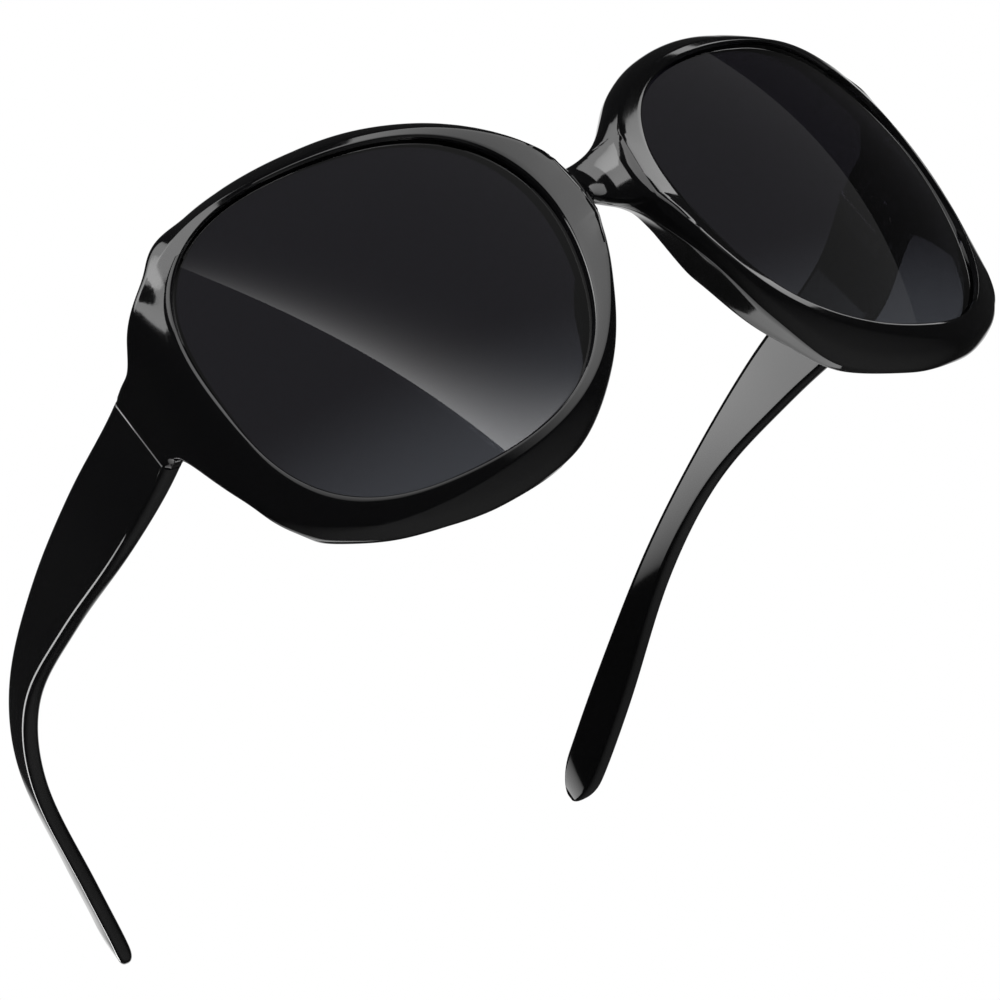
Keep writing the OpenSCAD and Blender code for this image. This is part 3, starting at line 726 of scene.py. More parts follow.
def cut_pocket(piece, side, way, front):
    """Lets the hinge's leaf into the plastic: way 1 is the temple's leaf and -1 the front's."""
    h, f = sizes("hinge"), front.f
    end = h.barrel_radius + h.leaf_length + h.leaf_clearance
    top = h.barrel_height / 2 + h.leaf_clearance
    low_y, high_y = (-OVERRUN, end) if way > 0 else (-end, OVERRUN)
    corners, faces = box_between((-f.seam_thickness - OVERRUN, low_y, -top),
                                 (-f.seam_thickness + h.leaf_thickness, high_y, top))
    cutter = mesh_piece("pocket_cutter", at_seam(corners, side, front), faces, piece.data.materials[0])
    cut = piece.modifiers.new("pocket", "BOOLEAN")
    cut.operation = "DIFFERENCE"
    cut.solver = "EXACT"
    cut.object = cutter
    apply_modifiers(piece)
    bpy.data.objects.remove(cutter, do_unlink=True)
    shade(piece.data, CRISP)


def apply_modifiers(piece):
    """Turns the piece with its modifiers into a plain mesh."""
    view = bpy.context.evaluated_depsgraph_get()
    mesh = bpy.data.meshes.new_from_object(piece.evaluated_get(view))
    old = piece.data
    piece.modifiers.clear()
    piece.data = mesh
    mesh.name = piece.name
    bpy.data.meshes.remove(old)


# Materials. One function adds a node with its settings and links.
def add_node(tree, kind, links=None, **settings):
    """A node of that kind; settings are attributes or input values, links are input name to socket."""
    node = tree.nodes.new(kind)
    for name, value in settings.items():
        if hasattr(node, name):
            setattr(node, name, value)
        else:
            node.inputs[name.replace("_", " ")].default_value = value
    for name, socket in (links or {}).items():
        tree.links.new(socket, node.inputs[name])
    return node


def new_material(name):
    """An empty node material and its tree."""
    material = bpy.data.materials.new(name)
    material.use_nodes = True
    material.node_tree.nodes.clear()
    return material, material.node_tree


def shader_out(tree, shader):
    """Joins the last shader to the material's surface."""
    out = add_node(tree, "ShaderNodeOutputMaterial")
    tree.links.new(shader, out.inputs["Surface"])


def polished_plastic():
    """Injection-moulded cellulose propionate, tumbled and polished: deep gloss with the faintest
    waviness where the tumbling left it, which only shows where a reflection's edge runs."""
    material, tree = new_material("tumble_polished_propionate_black")
    place = add_node(tree, "ShaderNodeTexCoord").outputs["Object"]
    # Waves of about 6 mm left by the mould and the tumbling
    waves = add_node(tree, "ShaderNodeTexNoise", {"Vector": place}, Scale=1 / (6 * MM), Detail=1.0)
    # Fine haze of about 0.5 mm in the gloss
    haze = add_node(tree, "ShaderNodeTexNoise", {"Vector": place}, Scale=1 / (0.5 * MM), Detail=2.0)
    rough = add_node(tree, "ShaderNodeMapRange", {"Value": haze.outputs["Fac"]}, From_Min=0.3, From_Max=0.7,
                     To_Min=0.055, To_Max=0.085)
    relief = add_node(tree, "ShaderNodeBump", {"Height": waves.outputs["Fac"]}, Strength=0.05,
                      Distance=0.1 * MM)
    body = add_node(tree, "ShaderNodeBsdfPrincipled",
                    {"Roughness": rough.outputs["Result"], "Normal": relief.outputs["Normal"]}, IOR=1.48)
    body.inputs["Base Color"].default_value = bpy.context.scene.sunglasses.finish.plastic
    shader_out(tree, body.outputs["BSDF"])
    return material


def tinted_lens():
    """Cast and dip-tinted polycarbonate: clear gloss, the dye deep at the top and thinning downwards."""
    material, tree = new_material("dip_tinted_polycarbonate")
    finish = bpy.context.scene.sunglasses.finish
    place = add_node(tree, "ShaderNodeTexCoord").outputs["Object"]
    parts = add_node(tree, "ShaderNodeSeparateXYZ", {"Vector": place})
    # The tint fades from 26 mm down to 3 mm over the table
    fade = add_node(tree, "ShaderNodeMapRange", {"Value": parts.outputs["Z"]},
                    interpolation_type="SMOOTHSTEP", From_Min=3 * MM, From_Max=26 * MM,
                    To_Min=0.0, To_Max=1.0)
    dye = add_node(tree, "ShaderNodeMix", {"Factor": fade.outputs["Result"]}, data_type="RGBA")
    colours = [i for i in dye.inputs if i.type == "RGBA"]
    colours[0].default_value = finish.lens_bottom
    colours[1].default_value = finish.lens_top
    tinted = [o for o in dye.outputs if o.type == "RGBA"][0]
    # Wipe marks of about 9 mm, only seen where a reflection runs over them
    marks = add_node(tree, "ShaderNodeTexNoise", {"Vector": place}, Scale=1 / (9 * MM), Detail=3.0)
    wiped = add_node(tree, "ShaderNodeMapRange", {"Value": marks.outputs["Fac"]},
                     From_Min=0.45, From_Max=0.75, To_Min=0.0, To_Max=0.02)
    glass = add_node(tree, "ShaderNodeBsdfPrincipled",
                     {"Base Color": tinted, "Roughness": wiped.outputs["Result"]}, IOR=1.586)
    glass.inputs["Transmission Weight"].default_value = 1.0
    shader_out(tree, glass.outputs["BSDF"])
    return material


def nickel_silver():
    """Stamped nickel silver, barrel polished: a warm grey metal, bright with a soft satin."""
    material, tree = new_material("stamped_nickel_silver")
    place = add_node(tree, "ShaderNodeTexCoord").outputs["Object"]
    # Scuffs of about 0.3 mm from the polishing drum
    scuffs = add_node(tree, "ShaderNodeTexNoise", {"Vector": place}, Scale=1 / (0.3 * MM), Detail=3.0)
    rough = add_node(tree, "ShaderNodeMapRange", {"Value": scuffs.outputs["Fac"]}, From_Min=0.3, From_Max=0.7,
                     To_Min=0.2, To_Max=0.34)
    relief = add_node(tree, "ShaderNodeBump", {"Height": scuffs.outputs["Fac"]}, Strength=0.15,
                      Distance=0.02 * MM)
    metal = add_node(tree, "ShaderNodeBsdfPrincipled",
                     {"Roughness": rough.outputs["Result"], "Normal": relief.outputs["Normal"]}, Metallic=1.0)
    metal.inputs["Base Color"].default_value = bpy.context.scene.sunglasses.finish.hinge
    shader_out(tree, metal.outputs["BSDF"])
    return material


def turned_steel():
    """Turned stainless steel: bright, with the tool's fine rings drawn as slow waves of 0.15 mm."""
    material, tree = new_material("turned_stainless_steel")
    place = add_node(tree, "ShaderNodeTexCoord").outputs["Object"]
    marks = add_node(tree, "ShaderNodeTexNoise", {"Vector": place}, Scale=1 / (0.15 * MM), Detail=2.0)
    rough = add_node(tree, "ShaderNodeMapRange", {"Value": marks.outputs["Fac"]}, From_Min=0.3, From_Max=0.7,
                     To_Min=0.12, To_Max=0.24)
    metal = add_node(tree, "ShaderNodeBsdfPrincipled", {"Roughness": rough.outputs["Result"]}, Metallic=1.0)
    metal.inputs["Base Color"].default_value = bpy.context.scene.sunglasses.finish.fixing
    shader_out(tree, metal.outputs["BSDF"])
    return material


# Geometry Nodes: screws and rivets are turned from a profile and set on the points of their own seats
LATHE_TURNS = 48


def sum_of(tree, inputs, terms):
    """Socket with the sum of named inputs, each times its share."""
    total = None
    for name, share in terms.items():
        links = {0: inputs[name]}
        if total:
            links[2] = total
        part = add_node(tree, "ShaderNodeMath", links, operation="MULTIPLY_ADD")
        part.inputs[1].default_value = share
        if not total:
            part.inputs[2].default_value = 0
        total = part.outputs[0]
    return total or add_node(tree, "ShaderNodeValue").outputs[0]


def lathe_tree(name, lengths, profile, slot=False):
    """Tree that sets a turned part on every point; the profile goes from its top down to its end."""
    tree = bpy.data.node_groups.new(name, "GeometryNodeTree")
    sockets = tree.interface
    sockets.new_socket("Seats", in_out="INPUT", socket_type="NodeSocketGeometry")
    sockets.new_socket("Turn", in_out="INPUT", socket_type="NodeSocketVector")
    for word in lengths:
        sockets.new_socket(word, in_out="INPUT", socket_type="NodeSocketFloat")
    sockets.new_socket("Material", in_out="INPUT", socket_type="NodeSocketMaterial")
    sockets.new_socket("Parts", in_out="OUTPUT", socket_type="NodeSocketGeometry")
    inputs = add_node(tree, "NodeGroupInput").outputs
    # Every row of a grid is one point of the profile and every column one turn about the axis
    grid = add_node(tree, "GeometryNodeMeshGrid", Vertices_X=len(profile), Vertices_Y=LATHE_TURNS + 1)
    index = add_node(tree, "GeometryNodeInputIndex").outputs[0]
    row = add_node(tree, "ShaderNodeMath", {0: index}, operation="DIVIDE")
    row.inputs[1].default_value = LATHE_TURNS + 1
    whole = add_node(tree, "ShaderNodeMath", {0: row.outputs[0]}, operation="FLOOR")
    turn = add_node(tree, "ShaderNodeMath", {0: row.outputs[0]}, operation="FRACT")
    column = add_node(tree, "ShaderNodeMath", {0: turn.outputs[0]}, operation="MULTIPLY")
    column.inputs[1].default_value = math.tau * (LATHE_TURNS + 1) / LATHE_TURNS
    points = add_node(tree, "GeometryNodeIndexSwitch", {"Index": whole.outputs[0]}, data_type="VECTOR")
    while len(points.index_switch_items) < len(profile):
        points.index_switch_items.new()
    for k, (radius, height) in enumerate(profile):
        point = add_node(tree, "ShaderNodeCombineXYZ", {"X": sum_of(tree, inputs, radius),
                                                        "Z": sum_of(tree, inputs, height)})
        tree.links.new(point.outputs[0], points.inputs[k + 1])
    around = add_node(tree, "ShaderNodeVectorRotate",
                      {"Vector": points.outputs[0], "Angle": column.outputs[0]}, rotation_type="Z_AXIS")
    turned = add_node(tree, "GeometryNodeSetPosition", {"Geometry": grid.outputs["Mesh"],
                                                        "Position": around.outputs[0]})
    part = add_node(tree, "GeometryNodeMergeByDistance", {"Geometry": turned.outputs[0]},
                    Distance=MERGE_DISTANCE).outputs[0]
    if slot:
        size = add_node(tree, "ShaderNodeCombineXYZ", {"X": sum_of(tree, inputs, {"Head Radius": SLOT_REACH}),
                                                       "Y": inputs["Slot Width"], "Z": inputs["Head Height"]})
        block = add_node(tree, "GeometryNodeMeshCube", {"Size": size.outputs[0]})
        seat = add_node(tree, "ShaderNodeCombineXYZ",
                        {"Z": sum_of(tree, inputs, {"Shank Length": 0.5, "Head Height": 1})})
        placed = add_node(tree, "GeometryNodeTransform", {"Geometry": block.outputs["Mesh"],
                                                          "Translation": seat.outputs[0]})
        cut = add_node(tree, "GeometryNodeMeshBoolean", operation="DIFFERENCE", solver="EXACT")
        tree.links.new(part, cut.inputs["Mesh 1"])
        tree.links.new(placed.outputs[0], cut.inputs["Mesh 2"])
        part = cut.outputs["Mesh"]
    way = add_node(tree, "FunctionNodeEulerToRotation", {"Euler": inputs["Turn"]})
    spread = add_node(tree, "GeometryNodeInstanceOnPoints", {"Points": inputs["Seats"], "Instance": part,
                                                             "Rotation": way.outputs[0]})
    real = add_node(tree, "GeometryNodeRealizeInstances", {"Geometry": spread.outputs[0]})
    dressed = add_node(tree, "GeometryNodeSetMaterial", {"Geometry": real.outputs[0],
                                                         "Material": inputs["Material"]})
    out = add_node(tree, "NodeGroupOutput")
    tree.links.new(dressed.outputs[0], out.inputs["Parts"])
    return tree


def turned_piece(name, seats, turn, tree, lengths):
    """One plain mesh with the tree's turned part on every seat."""
    mesh = bpy.data.meshes.new(name)
    mesh.from_pydata([tuple(p) for p in seats], [], [])
    piece = bpy.data.objects.new(name, mesh)
    bpy.context.scene.collection.objects.link(piece)
    lathe = piece.modifiers.new("lathe", "NODES")
    lathe.node_group = tree
    values = {word: value * MM for word, value in lengths.items()}
    values.update({"Turn": turn, "Material": material_for("fixing")})
    for item in tree.interface.items_tree:
        if item.in_out == "INPUT" and item.name in values:
            lathe[item.identifier] = values[item.name]
    apply_modifiers(piece)
    # The bare seats leave an empty slot before the material's
    while piece.data.materials[0] is None:
        piece.data.materials.pop(index=0)
    shade(piece.data, TURNED_CRISP)
    return piece


MAKERS = {"plastic": polished_plastic, "lens": tinted_lens, "hinge": nickel_silver, "fixing": turned_steel}
made = {}


def material_for(name):
    """The named finish, made the first time that it is asked for."""
    if name not in made:
        made[name] = MAKERS[name]()
    return made[name]


class SUNGLASSES_OT_front(bpy.types.Operator):
    """Make the moulded front from its cross-sections"""
    bl_idname = "sunglasses.front"
    bl_label = "Moulded front"

    def execute(self, context):
        front = Front()
        half = front.sections()
        rings, count = half.shape[:2]
        first_wall = front.face_count - 1
        last_wall = first_wall + len(WALL_STEPS)
        faces = []
        for k in range(rings):
            n = (k + 1) % rings
            for j in range(count):
                if k >= front.bridge_start and first_wall <= j <= last_wall:
                    continue
                m = (j + 1) % count
                faces.append((k * count + j, n * count + j, n * count + m, k * count + m))
        points = standing(half.reshape(-1, 3))
        other = points * [-1, 1, 1]
        total = len(points)
        faces += [tuple(total + i for i in face[::-1]) for face in faces]
        piece = mesh_piece("front_moulding", np.concatenate([points, other]), faces, material_for("plastic"))
        for side in (1, -1):
            cut_pocket(piece, side, -1, front)
        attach(piece, "front")
        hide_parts("front_frame")
        return {"FINISHED"}


class SUNGLASSES_OT_lenses(bpy.types.Operator):
    """Make the two curved lenses"""
    bl_idname = "sunglasses.lenses"
    bl_label = "Lenses"

    def execute(self, context):
        front = Front()
        lens, turns = front.lens, LENS_TURNS
        degrees = np.arange(turns) * 360 / turns
        edge = front.round_lens(degrees, lens.groove_depth - lens.clearance)
        centre = np.array([front.lens_centre, 0.0])
        shares = np.linspace(0, 1, LENS_RINGS + 1)[1:]
        flat = centre + shares[:, None, None] * (edge - centre)
        heights = (-lens.clearance, -lens.clearance - lens.thickness)
        front_face, rear_face = (front.wrap(flat[..., 0], flat[..., 1], np.full(flat.shape[:2], height))
                                 for height in heights)
        loops = np.concatenate([front_face, rear_face[::-1]])
        caps = front.wrap(np.full(2, centre[0]), np.zeros(2), np.array(heights))
        points = standing(np.concatenate([loops.reshape(-1, 3), caps]))
        last = len(loops) * turns
        faces = []
        for k in range(turns):
            n = (k + 1) % turns
            for j in range(len(loops) - 1):
                faces.append((j * turns + n, j * turns + k, (j + 1) * turns + k, (j + 1) * turns + n))
            faces.append((last, k, n))
            faces.append((last + 1, last - turns + n, last - turns + k))
        for side, word in ((1, "left"), (-1, "right")):
            placed = points * [side, 1, 1]
            turned = faces if side > 0 else [face[::-1] for face in faces]
            piece = mesh_piece("lens_%s_tinted" % word, placed, turned, material_for("lens"))
            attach(piece, "front")
            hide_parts("lens_" + word)
        return {"FINISHED"}


def temple_ring(front, c, squeeze):
    """One cross-section of a temple with rounded edges, for a station c, drawn in by squeeze at the tip."""
    t, f = front.t, front.f
    thick = mix(f.seam_thickness, t.thickness, ease(c[0] / EVEN_FROM_SHARE))
    w = thick / 2 * squeeze
    top, bottom = c[2] * t.height, c[3] * t.height
    h = (top - bottom) / 2 * squeeze
    r = min(f.edge_radius * squeeze, w * MOST_ROUNDING, h * MOST_ROUNDING)
    x = -c[1] * t.tip_inset - thick / 2
    z = (top + bottom) / 2
    ring = []
    for q in range(4):
        for i in range(EDGE_POINTS + 1):
            a = math.radians(90 * (q + i / EDGE_POINTS))
            ring.append((x + (w - r if q in (0, 3) else r - w) + r * math.cos(a), c[0] * t.length,
                         z + (h - r if q < 2 else r - h) + r * math.sin(a)))
    return ring


class SUNGLASSES_OT_temples(bpy.types.Operator):
    """Make the two temples along their curve"""
    bl_idname = "sunglasses.temples"
    bl_label = "Temples"

    def execute(self, context):
        front = Front()
        t = front.t
        curve = smooth_curve(TEMPLE_BEFORE, TEMPLE_SHARES, TEMPLE_AFTER, TEMPLE_STEPS)
        curve.append(np.array(TEMPLE_SHARES[-1], float))
        curve = relax(curve, TEMPLE_ROUNDS)
        tip_start = 1 - t.tip_run / t.length
        rings = [temple_ring(front, c, 1) for c in curve if c[0] < tip_start - TIP_GAP_SHARE]
        for a in np.radians(np.linspace(0, TIP_LAST_ANGLE, TIP_RINGS)):
            s = tip_start + (1 - tip_start) * math.sin(a)
            c = [np.interp(s, curve[:, 0], column) for column in curve.T]
            rings.append(temple_ring(front, c, max(TIP_LEAST, math.cos(a))))
        # A small chamfer round the seam, which draws its light line
        middle = np.mean(rings[0], axis=0)
        nose = np.array(rings[0])
        reach = np.abs(nose - middle).max(axis=0)
        nose[:, [0, 2]] = middle[[0, 2]] + (nose - middle)[:, [0, 2]] * (1 - SEAM_CHAMFER / reach[[0, 2]])
        points = np.concatenate([[nose], rings])
        points[0, :, 1] += t.seam_gap
        points[1, :, 1] += t.seam_gap + SEAM_CHAMFER
        count = points.shape[1]
        faces = []
        for k in range(len(points) - 1):
            for j in range(count):
                m = (j + 1) % count
                faces.append((k * count + j, (k + 1) * count + j, (k + 1) * count + m, k * count + m))
        faces.append(tuple(range(count)))
        faces.append(tuple(range(len(points) * count - 1, (len(points) - 1) * count - 1, -1)))
        for side, word in ((1, "left"), (-1, "right")):
            turned = faces if side > 0 else [face[::-1] for face in faces]
            piece = mesh_piece("temple_%s_arm" % word, at_seam(points.reshape(-1, 3), side, front), turned,
                               material_for("plastic"))
            cut_pocket(piece, side, 1, front)
            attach(piece, "temple_" + word)
            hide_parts("temple_" + word)
        return {"FINISHED"}


class SUNGLASSES_OT_hinges(bpy.types.Operator):
    """Give the hinge solids their nickel silver"""
    bl_idname = "sunglasses.hinges"
    bl_label = "Hinges"

    def execute(self, context):
        for name, node in frame["nodes"].items():
            if name.startswith(("front_hinge_", "temple_hinge_")) and "rivets" not in name:
                node.data.materials.clear()
                node.data.materials.append(material_for("hinge"))
        return {"FINISHED"}


class SUNGLASSES_OT_screws(bpy.types.Operator):
    """Turn the slotted hinge screws"""
    bl_idname = "sunglasses.screws"
    bl_label = "Hinge screws"

    def execute(self, context):
        front, h, stand = Front(), sizes("hinge"), sizes("stand")
        lengths = {"Shank Radius": h.screw_radius, "Shank Length": h.barrel_height,
                   "Head Radius": SCREW_HEAD_SHARE * h.barrel_radius, "Head Height": h.screw_radius,
                   "Chamfer": SCREW_CHAMFER_SHARE * h.screw_radius,
                   "Slot Width": SCREW_SLOT_SHARE * h.screw_radius}
        profile = (({}, {"Shank Length": 0.5, "Head Height": 1}),
                   ({"Head Radius": 1, "Chamfer": -1}, {"Shank Length": 0.5, "Head Height": 1}),
                   ({"Head Radius": 1, "Chamfer": -CHAMFER_BULGE},
                    {"Shank Length": 0.5, "Head Height": 1, "Chamfer": -CHAMFER_BULGE}),
                   ({"Head Radius": 1}, {"Shank Length": 0.5, "Head Height": 1, "Chamfer": -1}),
                   ({"Head Radius": 1}, {"Shank Length": 0.5}),
                   ({"Shank Radius": 1}, {"Shank Length": 0.5}),
                   ({"Shank Radius": 1}, {"Shank Length": -0.5, "Chamfer": 1}),
                   ({"Shank Radius": 1, "Chamfer": -1}, {"Shank Length": -0.5}),
                   ({}, {"Shank Length": -0.5}))
        tree = lathe_tree("slotted_screw", lengths, profile, slot=True)
        axis_x = -front.f.seam_thickness - h.barrel_radius - 2 * h.knuckle_gap
        lean = (-front.t.slope - stand.lean, 0, 0)
        for side, word in ((1, "left"), (-1, "right")):
            seats = at_seam([(axis_x, 0, 0)], side, front)
            piece = turned_piece("hinge_screw_%s_turned" % word, seats, lean, tree, lengths)
            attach(piece, "front")
            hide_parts("hinge_screw_" + word)
        return {"FINISHED"}


class SUNGLASSES_OT_rivets(bpy.types.Operator):
    """Turn the domed rivets of the hinge leaves"""
    bl_idname = "sunglasses.rivets"
    bl_label = "Rivets"

    def execute(self, context):
        front, h = Front(), sizes("hinge")
        lengths = {"Shank Radius": h.fixing_radius, "Shank Length": h.leaf_thickness + h.rivet_depth,
                   "Head Radius": RIVET_HEAD_SHARE * h.fixing_radius,
                   "Head Height": RIVET_DOME_SHARE * h.fixing_radius}
        dome = [math.radians(a) for a in (90, 75, 60, 45, 30, 15)]
        profile = [({}, {"Shank Length": 1}), ({"Shank Radius": 1}, {"Shank Length": 1})]
        profile += [({"Shank Radius": 1}, {})]
        profile += [({"Head Radius": math.sin(a)}, {"Head Height": -math.cos(a)}) for a in dome]
        profile += [({}, {"Head Height": -1})]
        tree = lathe_tree("domed_rivet", lengths, profile)
        along, apart = h.barrel_radius + h.leaf_length / 2, h.barrel_height / 4
        for side, word in ((1, "left"), (-1, "right")):
            for way, leaf, body in ((-1, "front", "front"), (1, "temple", "temple_" + word)):
                pair = [(-front.f.seam_thickness, way * along, z * apart) for z in (-1, 1)]
                seats = at_seam(pair, side, front)
                piece = turned_piece("%s_hinge_rivets_%s_turned" % (leaf, word), seats,
                                     (0, side * math.pi / 2, 0), tree, lengths)
                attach(piece, body)
                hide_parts("%s_hinge_rivets_%s" % (leaf, word))
        return {"FINISHED"}


# What each softbox is set for, by the start of the pieces' names
LENSES = ("lens_",)
FAR_TEMPLE = ("temple_left_arm",)
NEAR_TEMPLE = ("temple_right_arm",)
METAL = ("front_hinge_", "temple_hinge_", "hinge_screw_")
FRAME = ("front_", "temple_right_arm", "temple_hinge_", "hinge_screw_", "floor")
# Softboxes as angles from the glasses: azimuth from -Y towards +X, elevation, roll, width and height in
# degrees and distance in metres, then bow of the left edge as a share of the width, brightness, its
# falloff across and upwards as powers, and the pieces
SOFTBOXES = (("front_softbox", 0, 21, 180, 57, 50, 2, 0, 3.6, 0, 0.8, FRAME),
             ("brow_softbox", -60, 65, 20, 42, 38, 2, 0, 4.2, 0, 0.2, FRAME),
             ("bridge_softbox", -57, 43, 0, 16, 26, 0.38, 0, 5, 0, 0.4, FRAME),
             ("nose_softbox", 70, 22, 0, 17, 24, 2, 0, 3, 0, 0, FRAME),
             ("rear_softbox", -169, -21, 0, 43, 27, 2, 0, 1.9, 0.3, 0, ("front_",)),
             ("edge_softbox", -158, 4, 0, 60, 12, 2, 0, 5, 0, 0, NEAR_TEMPLE),
             ("seam_softbox", -56, 33, 0, 26, 26, 2, 0, 3.5, 0, 0, NEAR_TEMPLE),
             ("side_softbox", -125, 14, 0, 40, 34, 2, 0, 5, 0.45, 0, FAR_TEMPLE),
             ("hinge_softbox", 180, 55, 0, 90, 70, 2, 0, 0.4, 0, 0, METAL),
             ("lens_softbox", 6.2, 28.4, 25.3, 40, 84, 2, 0.157, 4, 19, 1, LENSES),
             ("lens_fill", 10, 15, 0, 120, 110, 2, 0, 0.15, 0, 0, LENSES))


class SUNGLASSES_OT_studio(bpy.types.Operator):
    """Set up the floor, the lights, the white surroundings and the camera"""
    bl_idname = "sunglasses.studio"
    bl_label = "Studio"

    def execute(self, context):
        scene = context.scene
        scene.view_settings.view_transform = "Standard"
        self.surroundings(scene)
        self.lay_floor(scene)
        for softbox in SOFTBOXES:
            self.hang_softbox(scene, *softbox)
        self.place_camera(scene)
        return {"FINISHED"}

    def surroundings(self, scene):
        """White to the camera and in the backdrop's gloss, dim elsewhere and a little lighter below."""
        world = bpy.data.worlds.new("white_studio")
        scene.world = world
        world.use_nodes = True
        tree = world.node_tree
        tree.nodes.clear()
        path = add_node(tree, "ShaderNodeLightPath")
        seen = add_node(tree, "ShaderNodeMath", {0: path.outputs["Is Camera Ray"],
                                                 1: path.outputs["Is Transmission Ray"]}, operation="MAXIMUM")
        # Gloss shows the white backdrop where it hangs, behind the glasses, and the dim room elsewhere
        towards = add_node(tree, "ShaderNodeTexCoord").outputs["Object"]
        across = add_node(tree, "ShaderNodeVectorMath", {0: towards}, operation="DOT_PRODUCT")
        across.inputs[1].default_value = BACKDROP_WAY
        hung = add_node(tree, "ShaderNodeMapRange", {"Value": across.outputs["Value"]},
                        interpolation_type="SMOOTHSTEP", From_Min=BACKDROP_EDGE, From_Max=BACKDROP_WHOLE)
        gloss = add_node(tree, "ShaderNodeMath", {0: hung.outputs["Result"],
                                                  1: path.outputs["Is Glossy Ray"]}, operation="MULTIPLY")
        white = add_node(tree, "ShaderNodeMath", {0: seen.outputs[0], 1: gloss.outputs[0]},
                         operation="MAXIMUM")
        height = add_node(tree, "ShaderNodeSeparateXYZ", {"Vector": towards}).outputs["Z"]
        room = add_node(tree, "ShaderNodeMapRange", {"Value": height}, From_Min=-1.0, From_Max=-0.4,
                        To_Min=0.3, To_Max=0.03)
        strength = add_node(tree, "ShaderNodeMapRange", {"Value": white.outputs[0],
                                                         "To Min": room.outputs["Result"]}, To_Max=1.0)
        back = add_node(tree, "ShaderNodeBackground", {"Strength": strength.outputs["Result"]})
        back.inputs["Color"].default_value = (1, 1, 1, 1)
        out = add_node(tree, "ShaderNodeOutputWorld")
        tree.links.new(back.outputs[0], out.inputs["Surface"])

    def lay_floor(self, scene):
        """A pale floor that is clear from below, where the camera stands."""
        s = scene.sunglasses.studio
        material, tree = new_material("matt_paper_floor")
        side = add_node(tree, "ShaderNodeNewGeometry")
        path = add_node(tree, "ShaderNodeLightPath")
        unseen = add_node(tree, "ShaderNodeMath", {0: side.outputs["Backfacing"],
                                                   1: path.outputs["Is Glossy Ray"]}, operation="MAXIMUM")
        paper = add_node(tree, "ShaderNodeBsdfDiffuse", Roughness=0.5)
        paper.inputs["Color"].default_value = s.floor
        clear = add_node(tree, "ShaderNodeBsdfTransparent")
        both = add_node(tree, "ShaderNodeMixShader", {0: unseen.outputs[0], 1: paper.outputs[0],
                                                      2: clear.outputs[0]})
        shader_out(tree, both.outputs[0])
        half = s.floor_size / 2
        mesh = bpy.data.meshes.new("floor")
        mesh.from_pydata([(-half, -half, 0), (half, -half, 0), (half, half, 0), (-half, half, 0)], [],
                         [(0, 1, 2, 3)])
        mesh.materials.append(material)
        floor = bpy.data.objects.new("floor", mesh)
        scene.collection.objects.link(floor)

    def hang_softbox(self, scene, name, azimuth, elevation, roll, width, height, away, bow, level, across,
                     upwards, pieces):
        """A softbox, brightest at its left edge and lower end where it has a falloff; one with a
        bow fans out towards its lower end."""
        data = bpy.data.lights.new(name, "AREA")
        data.shape = "RECTANGLE"
        data.size = 2 * away * math.tan(math.radians(width / 2))
        data.size_y = 2 * away * math.tan(math.radians(height / 2))
        data.energy = level * math.pi * data.size * data.size_y
        data.use_nodes = True
        tree = data.node_tree
        tree.nodes.clear()
        place = add_node(tree, "ShaderNodeNewGeometry")
        parts = add_node(tree, "ShaderNodeSeparateXYZ", {"Vector": place.outputs["Parametric"]})

        def reckon(operation, *values):
            """Socket with the result of one operation on sockets and numbers."""
            node = add_node(tree, "ShaderNodeMath", operation=operation)
            for k, value in enumerate(values):
                if isinstance(value, (int, float)):
                    node.inputs[k].default_value = value
                else:
                    tree.links.new(value, node.inputs[k])
            return node.outputs[0]

        x, y = parts.outputs["X"], parts.outputs["Y"]
        bend = reckon("POWER", reckon("ABSOLUTE", reckon("MULTIPLY_ADD", y, 2, -1)), 2)
        inside = reckon("SUBTRACT", x, reckon("MULTIPLY", bend, bow))
        fade_across = reckon("POWER", reckon("SUBTRACT", 1, reckon("MAXIMUM", inside, 0)),
                             reckon("MULTIPLY", y, across) if bow else across)
        fade_up = reckon("POWER", reckon("SUBTRACT", 1, y), upwards)
        # Nothing shines beyond the bowed left edge
        shining = reckon("GREATER_THAN", inside, -1e-6)
        strength = reckon("MULTIPLY", reckon("MULTIPLY", fade_across, fade_up), shining)
        glow = add_node(tree, "ShaderNodeEmission", {"Strength": strength})
        out = add_node(tree, "ShaderNodeOutputLight")
        tree.links.new(glow.outputs[0], out.inputs["Surface"])
        box = bpy.data.objects.new(name, data)
        a, e = math.radians(azimuth), math.radians(elevation)
        outward = Vector((math.sin(a) * math.cos(e), -math.cos(a) * math.cos(e), math.sin(e)))
        turn = outward.to_track_quat("Z", "Y").to_matrix().to_4x4()
        middle = Vector((0, 0, MIDDLE_HEIGHT * MM))
        box.matrix_world = (Matrix.Translation(outward * away + middle) @ turn
                            @ Matrix.Rotation(math.radians(roll), 4, "Z"))
        box.visible_camera = False
        lit = bpy.data.collections.new("lit_by_" + name)
        for piece in scene.objects:
            if piece.name.startswith(pieces):
                lit.objects.link(piece)
        box.light_linking.receiver_collection = lit
        scene.collection.objects.link(box)

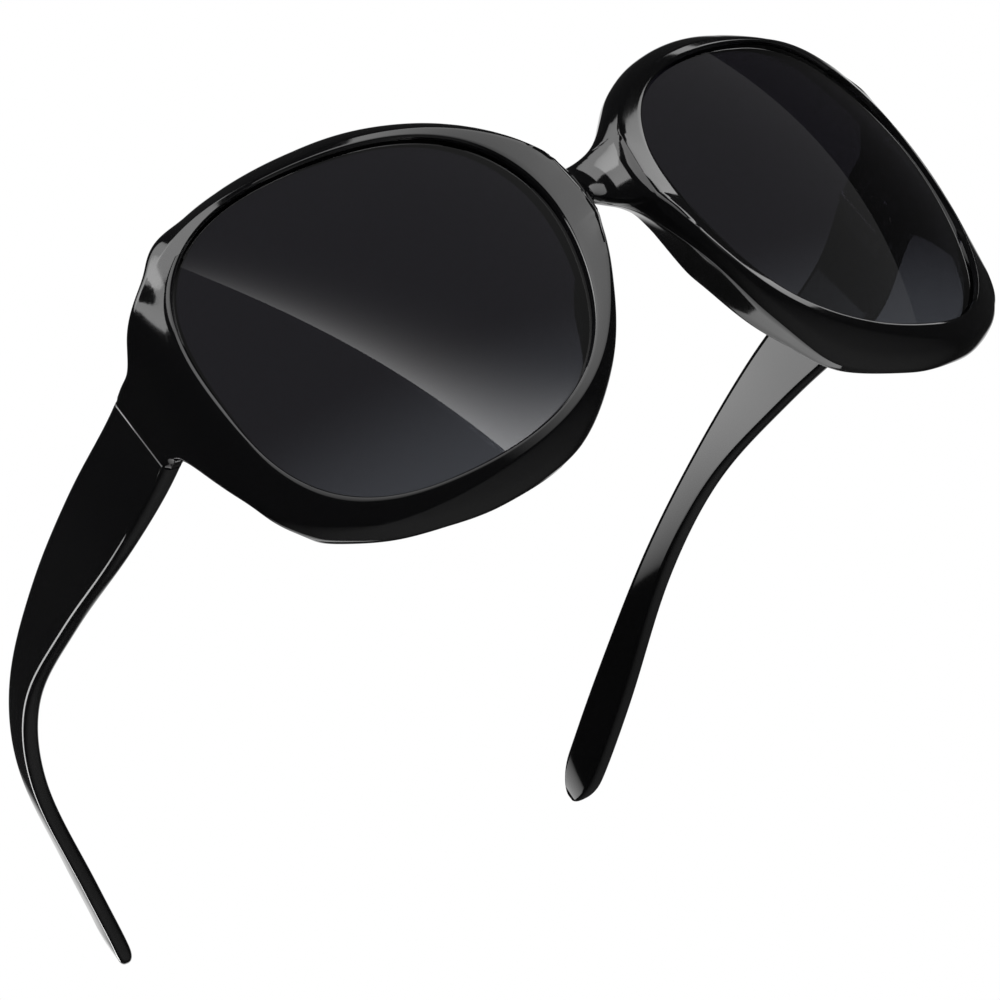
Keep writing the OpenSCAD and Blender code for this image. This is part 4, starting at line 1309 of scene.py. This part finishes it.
    def place_camera(self, scene):
        """The camera at its distance from the point it aims at, turned by the roll."""
        s = scene.sunglasses.studio
        flat = math.cos(s.elevation)
        aim = Vector((math.sin(s.azimuth) * flat, math.cos(s.azimuth) * flat, math.sin(s.elevation)))
        level = Vector((math.cos(s.azimuth), -math.sin(s.azimuth), 0))
        upward = level.cross(aim)
        right = level * math.cos(s.roll) - upward * math.sin(s.roll)
        data = bpy.data.cameras.new("studio_camera")
        data.sensor_width = 36
        data.lens = s.lens
        data.clip_end = 20
        camera = bpy.data.objects.new("studio_camera", data)
        scene.collection.objects.link(camera)
        turn = Matrix((right, right.cross(aim), -aim)).transposed().to_4x4()
        camera.matrix_world = Matrix.Translation(Vector(s.aim) - aim * s.distance) @ turn
        scene.camera = camera


class Sunglasses(bpy.types.PropertyGroup):
    """All the settings of the sunglasses."""
    front: bpy.props.PointerProperty(type=FrontSizes, name="Front", description="Moulded front")
    lens: bpy.props.PointerProperty(type=LensSizes, name="Lenses", description="Lenses")
    temple: bpy.props.PointerProperty(type=TempleSizes, name="Temples", description="Temples")
    hinge: bpy.props.PointerProperty(type=HingeSizes, name="Hinges", description="Hinges")
    stand: bpy.props.PointerProperty(type=StandSizes, name="Stand", description="How the glasses stand")
    finish: bpy.props.PointerProperty(type=Finishes, name="Finishes", description="Colours")
    studio: bpy.props.PointerProperty(type=Studio, name="Studio", description="Camera and stage")


OPERATORS = (SUNGLASSES_OT_front, SUNGLASSES_OT_lenses, SUNGLASSES_OT_temples, SUNGLASSES_OT_hinges,
             SUNGLASSES_OT_screws, SUNGLASSES_OT_rivets, SUNGLASSES_OT_studio)


class SUNGLASSES_PT_panel(bpy.types.Panel):
    """Sidebar panel with every size and step"""
    bl_idname = "SUNGLASSES_PT_panel"
    bl_label = "Sunglasses"
    bl_space_type = "VIEW_3D"
    bl_region_type = "UI"
    bl_category = "Sunglasses"

    def draw(self, context):
        settings = context.scene.sunglasses
        for operator in OPERATORS:
            self.layout.operator(operator.bl_idname)
        for name, kind in SETTINGS.items():
            box = self.layout.box()
            box.label(text=name.capitalize())
            for prop in kind.__annotations__:
                box.prop(getattr(settings, name), prop)


CLASSES = (*SETTINGS.values(), Sunglasses, *OPERATORS, SUNGLASSES_PT_panel)


def register():
    for item in CLASSES:
        bpy.utils.register_class(item)
    bpy.types.Scene.sunglasses = bpy.props.PointerProperty(type=Sunglasses)


def unregister():
    del bpy.types.Scene.sunglasses
    for item in reversed(CLASSES):
        bpy.utils.unregister_class(item)


def main():
    register()
    for operator in OPERATORS:
        group, name = operator.bl_idname.split(".")
        getattr(getattr(bpy.ops, group), name)()


if __name__ == "__main__":
    main()
